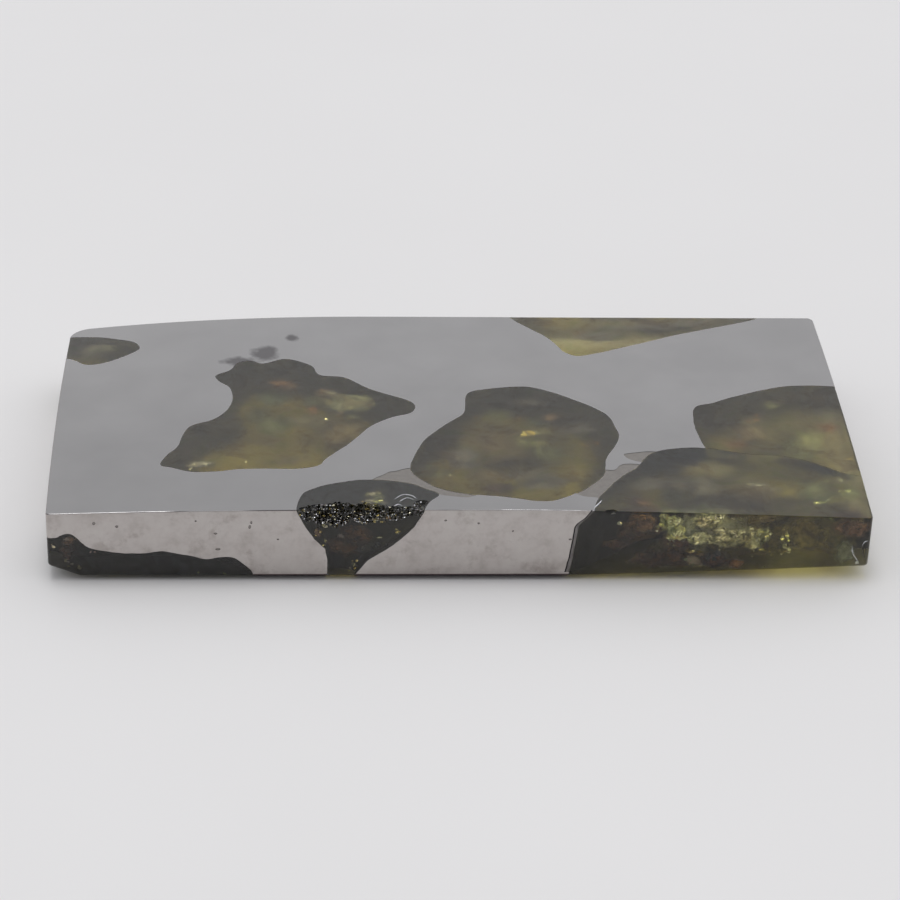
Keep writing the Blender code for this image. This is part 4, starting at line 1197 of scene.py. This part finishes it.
def surface_tools(wall, dull, grey):
    """What is cut shallowly into the metal: sulphide, the crack and its rim, and pits."""
    tools = []
    for number, outline in enumerate(SULPHIDE_PATCHES):
        tools.append(top_patch(f"sulphide_{number}", outline, SULPHIDE_DEPTH, dull))
    # The two share no face, edge or plane, which would leave bits of them standing outside the slice
    tools.append(front_patch("rim", beside(CRACK, RIM_LEFT, RIM_RIGHT), SULPHIDE_DEPTH, grey))
    opening = beside(CRACK, CRACK_LEFT, CRACK_RIGHT)
    # the crack's faces take the pocket wall's painted shade
    tools.append(front_patch("crack", opening, CRACK_DEPTH, wall, CRACK_BEYOND))
    for number, pit in enumerate(PITS):
        ring = wobbly(smooth_ring(oval(*pit), PIT_STEPS))
        tools.append(front_patch(f"pit_{number}", ring, PIT_DEPTH, dull))
    return tools


def make_metal(rings, metal, walls, dull, grey):
    matrix = new_object("metal_matrix_polished", slice_mesh("metal_matrix_polished"))
    matrix.data.materials.append(metal)
    tools = surface_tools(walls["olivine_front_right"], dull, grey)
    for name, each in rings.items():
        tools.append(tool_of(f"pocket_{name}", loft_mesh(f"pocket_{name}", each), walls[name]))
    carved(matrix, tools)
    remove(tools)
    shade(matrix.data)
    declare(matrix, METAL_SLOT, "metal_matrix")


def crumble_mesh(name):
    """A very uneven rod along the front edge, which leaves a broken edge where it is cut away."""
    rings = []
    for step in range(CRUMBLE_STEPS + 1):
        along = step / CRUMBLE_STEPS
        x = CRUMBLE_FROM + (CRUMBLE_TO - CRUMBLE_FROM) * along
        swell = CRUMBLE_ENDS + (1 - CRUMBLE_ENDS) * sin(pi * along**CRUMBLE_LEANS)
        ring = []
        for side in range(CRUMBLE_SIDES):
            angle = 2 * pi * side / CRUMBLE_SIDES
            across, up = CRUMBLE_ACROSS * cos(angle), CRUMBLE_DOWN * sin(angle)
            size = swell * (1 + layered(Vector((x, across, up)), CRUMBLE_NOISE))
            ring.append(Vector((x, FRONT + across * size, HEIGHT + up * size)))
        rings.append(ring)
    shape = bmesh.new()
    skin(shape, rings)
    return mesh_of(shape, name)


def chip_mesh(name, centre, radius):
    """A lumpy ball, which leaves a chip with shell-like faces."""
    shape = bmesh.new()
    bmesh.ops.create_icosphere(shape, subdivisions=CHIP_DETAIL, radius=1.0)
    for vertex in shape.verts:
        out = vertex.co.normalized()
        size = radius * (1 + layered(out * radius + Vector(centre), CHIP_NOISE))
        vertex.co = Vector(centre) + out * size
    return mesh_of(shape, name)


def bites_of(name, look):
    """What has broken off a crystal, as cutters."""
    meshes = [
        chip_mesh(f"chip_{number}", centre, radius)
        for number, (owner, centre, radius) in enumerate(CHIPS) if owner == name
    ]
    if name == "olivine_front_centre":
        meshes.append(crumble_mesh("crumble"))
    return [tool_of(mesh.name, mesh, look) for mesh in meshes]


def make_crystals(rings, looks, wall):
    """Each crystal is what its pocket holds of the slice, less what has broken off it."""
    neighbour_mesh = loft_mesh("neighbour", rings["olivine_front_right"], TUCK + SEAM)
    neighbour = tool_of("neighbour", neighbour_mesh, wall)
    blank = new_object("slice_inside", slice_mesh("slice_inside", FLUSH))
    made = {}
    for name, each in rings.items():
        crystal = tool_of(f"{name}_clear", loft_mesh(f"{name}_clear", each, TUCK), looks[name])
        blank.data.materials.clear()
        blank.data.materials.append(looks[name])
        carved(crystal, [blank], "INTERSECT")
        if name == "olivine_right":
            carved(crystal, [neighbour])
        bites = bites_of(name, looks[name])
        carved(crystal, bites, crossing=True)
        remove(bites)
        shade(crystal.data)
        made[name] = declare(crystal, CRYSTAL_SLOT, name)
    remove([blank, neighbour])
    return made


# What is inside the crystals


def looking_in(entry, normal):
    """The way on into a crystal of a line from the camera that meets its face at the entry."""
    line = (entry - Vector(CAMERA_PLACE)).normalized()
    cosine = -line.dot(normal)
    kept = sqrt(1 - (1 - cosine**2) / OLIVINE_IOR**2)
    return line / OLIVINE_IOR + normal * (cosine / OLIVINE_IOR - kept)


def surface_of(thing):
    """The object's surface in millimetres, to ask what is near a point."""
    points = [vertex.co / MM for vertex in thing.data.vertices]
    return BVHTree.FromPolygons(points, [face.vertices for face in thing.data.polygons])


def all_inside(surface, points):
    """Whether the points all lie inside a surface, and not too near it."""
    for point in points:
        near, normal, _, distance = surface.find_nearest(point)
        if distance <= FILM_MARGIN or (near - point).dot(normal) <= 0:
            return False
    return True


def random_lean(chance, most):
    return Vector([chance.uniform(-most, most) for _ in range(3)])


def seen_through(a, b, through_top):
    """Where a line from the camera enters, which way the face looks there, and which way the films do."""
    if through_top:
        return Vector((a, b, top_height(a, b))), polished_normal(a, b, True), Vector((0.0, 0.0, 1.0))
    lean = radians(FRONT_LEAN)
    return Vector((a, FRONT, b)), Vector((0.0, -1.0, 0.0)), Vector((0.0, -cos(lean), sin(lean)))


def film_place(chance, through_top, middle, depths, reach, lean):
    """A place inside a crystal that the camera sees near the middle, and which way a film there looks."""
    a, b = (centre + far * chance.uniform(-1, 1) for centre, far in zip(middle, reach))
    entry, normal, facing = seen_through(a, b, through_top)
    place = entry + looking_in(entry, normal) * chance.uniform(*depths)
    return place, (facing + random_lean(chance, lean)).normalized()


def flake_points(chance, middle, facing, size):
    """A thin, cupped, ragged lens: its rim, a ring above it and one below, and the two middles."""
    along = facing.orthogonal().normalized()
    across = facing.cross(along)
    spin, narrow = chance.uniform(0, 2 * pi), chance.uniform(*FLAKE_NARROW)
    cup = chance.uniform(-FLAKE_CUP, FLAKE_CUP) * size
    rim, upper, lower = [], [], []
    for i in range(FLAKE_POINTS):
        angle = 2 * pi * i / FLAKE_POINTS
        reach = size * chance.uniform(*FLAKE_RAGGED)
        u, v = reach * cos(angle), reach * sin(angle) * narrow
        out = along * (u * cos(spin) - v * sin(spin)) + across * (u * sin(spin) + v * cos(spin))
        lift = cup * FLAKE_LIFT + chance.uniform(-FLAKE_CRUMPLE, FLAKE_CRUMPLE) * size
        rim.append(middle + out)
        upper.append(middle + out * FLAKE_MIDDLE + facing * (lift + FILM_THICKNESS / 2))
        lower.append(middle + out * FLAKE_MIDDLE + facing * (lift - FILM_THICKNESS / 2))
    tips = [middle + facing * (cup + side * FILM_THICKNESS / 2) for side in (1, -1)]
    return rim, upper, lower, tips


def add_flake(shape, points, index):
    rim, upper, lower, tips = points
    edge, above, below = ([shape.verts.new(p) for p in ring] for ring in (rim, upper, lower))
    top, bottom = (shape.verts.new(p) for p in tips)
    for i in range(FLAKE_POINTS):
        j = (i + 1) % FLAKE_POINTS
        faces = [
            (edge[i], edge[j], above[j], above[i]), (above[i], above[j], top),
            (edge[j], edge[i], below[i], below[j]), (below[j], below[i], bottom),
        ]
        for corners in faces:
            shape.faces.new(corners).material_index = index


def scatter_flakes(shape, chance, surface, through_top, look, middle, depths, size, count=1, reach=(0, 0)):
    """Flakes of one look, as far as each finds room inside the crystal."""
    for _ in range(count):
        for _ in range(FLAKE_TRIES):
            place, facing = film_place(chance, through_top, middle, depths, reach, FLAKE_LEAN)
            points = flake_points(chance, place, facing, size * chance.uniform(*FLAKE_SIZES))
            rim, tips = points[0], points[-1]
            if all_inside(surface, rim + tips):
                add_flake(shape, points, LOOK_NUMBERS[look])
                break


def squared(part, power):
    return abs(part) ** power * (1 if part > 0 else -1)


def sheet_rows(chance, middle, facing, half_x, half_y, power):
    """Rings of points of a crumpled sheet with a ragged outline, from its middle outwards.

    A power of 1 gives an oval, and a lower one a squarer outline.
    """
    across = facing.cross(Vector((1.0, 0.0, 0.0))).normalized()
    along = across.cross(facing)
    origin = random_lean(chance, SHEET_ORIGINS)
    rows = []
    for ring in range(SHEET_RINGS + 1):
        row = []
        for i in range(SHEET_POINTS):
            angle = 2 * pi * i / SHEET_POINTS
            u, v = squared(cos(angle), power), squared(sin(angle), power)
            edge = 1 + SHEET_RAGGED * noise.noise(Vector((u, v, 0.0)) * SHEET_WAVES + origin)
            out = ring / SHEET_RINGS * edge
            flat = middle + along * (half_x * u * out) + across * (half_y * v * out)
            row.append(flat + facing * layered(flat + origin, CRUMPLES))
        rows.append(row)
    return rows


def add_sheet(shape, rows, facing, index):
    """A thin closed body, thickest in its middle. Each point knows how near the rim it is."""
    fade = shape.verts.layers.float[FADE]
    sides = []
    for side in (1, -1):
        made = []
        for ring, row in enumerate(rows[:-1]):
            thick = FILM_THICKNESS * sqrt(1 - (ring / SHEET_RINGS) ** 2) / 2
            points = row if ring else row[:1]
            made.append([shape.verts.new(p + facing * (side * thick)) for p in points])
        sides.append(made)
    rim = [shape.verts.new(p) for p in rows[-1]]
    for made in sides:
        made.append(rim)
        for ring, row in enumerate(made):
            for vertex in row:
                vertex[fade] = ring / SHEET_RINGS
        for inner, outer in zip(made, made[1:]):
            for i in range(SHEET_POINTS):
                j = (i + 1) % SHEET_POINTS
                if len(inner) == 1:
                    corners = (inner[0], outer[i], outer[j])
                else:
                    corners = (inner[i], outer[i], outer[j], inner[j])
                shape.faces.new(corners).material_index = index


def lay_sheets(shape, chance, surface, through_top, look, middle, depths, halves, count=1, reach=(0, 0)):
    """Crumpled sheets of one look, each made smaller until it finds room inside the crystal."""
    power = VEIL_POWER if look == "veil" else 1
    for _ in range(count):
        shrink = 1.0
        for _ in range(SHEET_TRIES):
            place, facing = film_place(chance, through_top, middle, depths, reach, SHEET_LEAN)
            half_x, half_y = (half * shrink for half in halves)
            rows = sheet_rows(chance, place, facing, half_x, half_y, power)
            if all_inside(surface, rows[-1] + rows[SHEET_RINGS // 2]):
                add_sheet(shape, rows, facing, LOOK_NUMBERS[look])
                break
            shrink *= SHEET_SHRINK


def add_curl_highlight(shape, on_top, radius, points):
    """A thin bright line, a painted highlight on a chipped edge, that follows the top face or the front
    face.
    """
    if on_top:
        line = [Vector((p.x, p.y, top_height(p.x, p.y) - FLUSH)) for p in smooth_line(points)]
    else:
        line = [Vector((p.x, FRONT + FLUSH, p.y)) for p in smooth_line(points)]
    out = Vector((0.0, 0.0, 1.0)) if on_top else Vector((0.0, -1.0, 0.0))
    turns = [2 * pi * i / CURL_SIDES for i in range(CURL_SIDES)]
    rings = []
    for step, middle in enumerate(line):
        ahead = line[min(step + 1, len(line) - 1)] - line[max(step - 1, 0)]
        aside = ahead.cross(out).normalized()
        thin = radius * sin(pi * (step + 0.5) / len(line))
        rings.append([middle + aside * (thin * cos(t)) + out * (thin * sin(t)) for t in turns])
    before = len(shape.faces)
    skin(shape, rings)
    shape.faces.ensure_lookup_table()
    for face in shape.faces[before:]:
        face.material_index = LOOK_NUMBERS["white"]


def broken_faces(crystal):
    """The faces of the crumbled edge, which lie inside the slice's own faces."""
    faces = []
    for face in crystal.data.polygons:
        x, y, z = face.center / MM
        near_edge = CRUMBLE_FROM < x < CRUMBLE_TO and y < FRONT + GRAIN_REACH and z > HEIGHT - GRAIN_REACH
        if near_edge and y > FRONT + GRAIN_MARGIN and z < top_height(x, y) - GRAIN_MARGIN:
            faces.append(face)
    return faces


def add_grains(shape, chance, crystal):
    """Broken grains on the crumbled edge. The white and cream ones are painted highlights for the glints
    of broken facets.
    """
    broken = broken_faces(crystal)
    for face in chance.choices(broken, weights=[face.area for face in broken], k=GRAINS):
        size = chance.uniform(*GRAIN_SIZES)
        index = LOOK_NUMBERS[chance.choice(GRAIN_LOOKS)]
        stretch = Vector([chance.uniform(*each) for each in GRAIN_STRETCHES])
        grain = bmesh.ops.create_icosphere(shape, subdivisions=GRAIN_DETAIL, radius=1.0)["verts"]
        for vertex in grain:
            lump = vertex.co + random_lean(chance, GRAIN_LUMPS)
            vertex.co = face.center / MM + lump * size * stretch
            for touching in vertex.link_faces:
                touching.material_index = index


def make_fractures(crystals, films):
    """One piece for each crystal, of all that is seen inside it."""
    layers = [
        (TOP_SHEETS, lay_sheets, True), (TOP_FLAKES, scatter_flakes, True),
        (FRONT_SHEETS, lay_sheets, False), (FRONT_FLAKES, scatter_flakes, False),
    ]
    chance = Random(FILM_SEED)
    for name, crystal in crystals.items():
        surface = surface_of(crystal)
        shape = bmesh.new()
        shape.verts.layers.float.new(FADE)
        for rows, lay, through_top in layers:
            for row in rows.get(name, []):
                lay(shape, chance, surface, through_top, *row)
        for owner, *curl in CURL_HIGHLIGHTS:
            if owner == name:
                add_curl_highlight(shape, *curl)
        if name == "olivine_front_centre":
            add_grains(shape, Random(GRAIN_SEED), crystal)
        mesh = mesh_of(shape, f"{name}_fractures")
        mesh.shade_smooth()
        mesh.set_sharp_from_angle(angle=radians(FILM_SHARP))
        for film in films:
            mesh.materials.append(film)
        declare(new_object(f"{name}_fractures", mesh), CRYSTAL_SLOT)


# Floor, light and camera


def make_floor():
    bpy.ops.mesh.primitive_grid_add(
        x_subdivisions=FLOOR_STEPS, y_subdivisions=FLOOR_STEPS, size=FLOOR_SIZE
    )
    floor = bpy.context.object
    floor.name = "floor"
    floor.location.z = -FLOOR_GAP * MM
    floor.data.materials.append(floor_material())


def make_sky():
    """A soft studio all round, darker low down on the camera's own side."""
    world = bpy.data.worlds.new("studio")
    world.use_nodes = True
    bpy.context.scene.world = world
    tree = world.node_tree
    direction = parts_of(tree, add(tree, "ShaderNodeTexCoord", {}).outputs["Generated"])
    lit = spread(tree, math(tree, "ADD", direction["Y"], direction["Z"]), *SKY_RANGE)
    sky = ramp(tree, lit, [(0.0, FRONT_SKY), (1.0, OPEN_SKY)])
    tree.links.new(sky, tree.nodes["Background"].inputs["Color"])


def make_lamp():
    """A soft box overhead that looks at the slice."""
    lamp = bpy.data.lights.new("overhead", "AREA")
    lamp.shape = "SQUARE"
    lamp.size = LAMP_SIZE
    lamp.energy = LAMP_POWER
    lamp.color = LAMP_COLOUR
    box = bpy.data.objects.new("overhead", lamp)
    bpy.context.scene.collection.objects.link(box)
    box.location = LAMP_PLACE
    box.rotation_euler = (-Vector(LAMP_PLACE)).to_track_quat("-Z", "Y").to_euler()


def make_camera():
    camera = bpy.data.cameras.new("camera")
    camera.sensor_width = SENSOR
    camera.lens = SENSOR * FOCAL_PIXELS / PICTURE_PIXELS
    camera.clip_start, camera.clip_end = CLIP
    eye = bpy.data.objects.new("camera", camera)
    bpy.context.scene.collection.objects.link(eye)
    turn = Matrix.Rotation(radians(-CAMERA_YAW), 4, "Z")
    tilt = Matrix.Rotation(radians(90 - CAMERA_PITCH), 4, "X")
    roll = Matrix.Rotation(radians(CAMERA_ROLL), 4, "Z")
    eye.matrix_world = Matrix.Translation(Vector(CAMERA_PLACE) * MM) @ turn @ tilt @ roll
    bpy.context.scene.camera = eye


def build():
    rings = crystal_rings()
    looks = {name: olivine(f"{name}_look") for name in rings}
    films = [fracture(f"fracture_{name}", *how) for name, how in FRACTURE_LOOKS.items()]
    walls = {
        name: painted_shade_wall(f"{name}_wall", FRONT_WALL_SHADE if "front" in name else INNER_WALL_SHADE) for name in rings
    }
    make_metal(rings, iron_nickel(), walls, sulphide(), rim_metal())
    crystals = make_crystals(rings, looks, walls["olivine_front_right"])
    make_fractures(crystals, films)
    make_floor()
    make_sky()
    make_lamp()
    make_camera()
    bpy.context.scene.view_settings.view_transform = "Standard"


build()
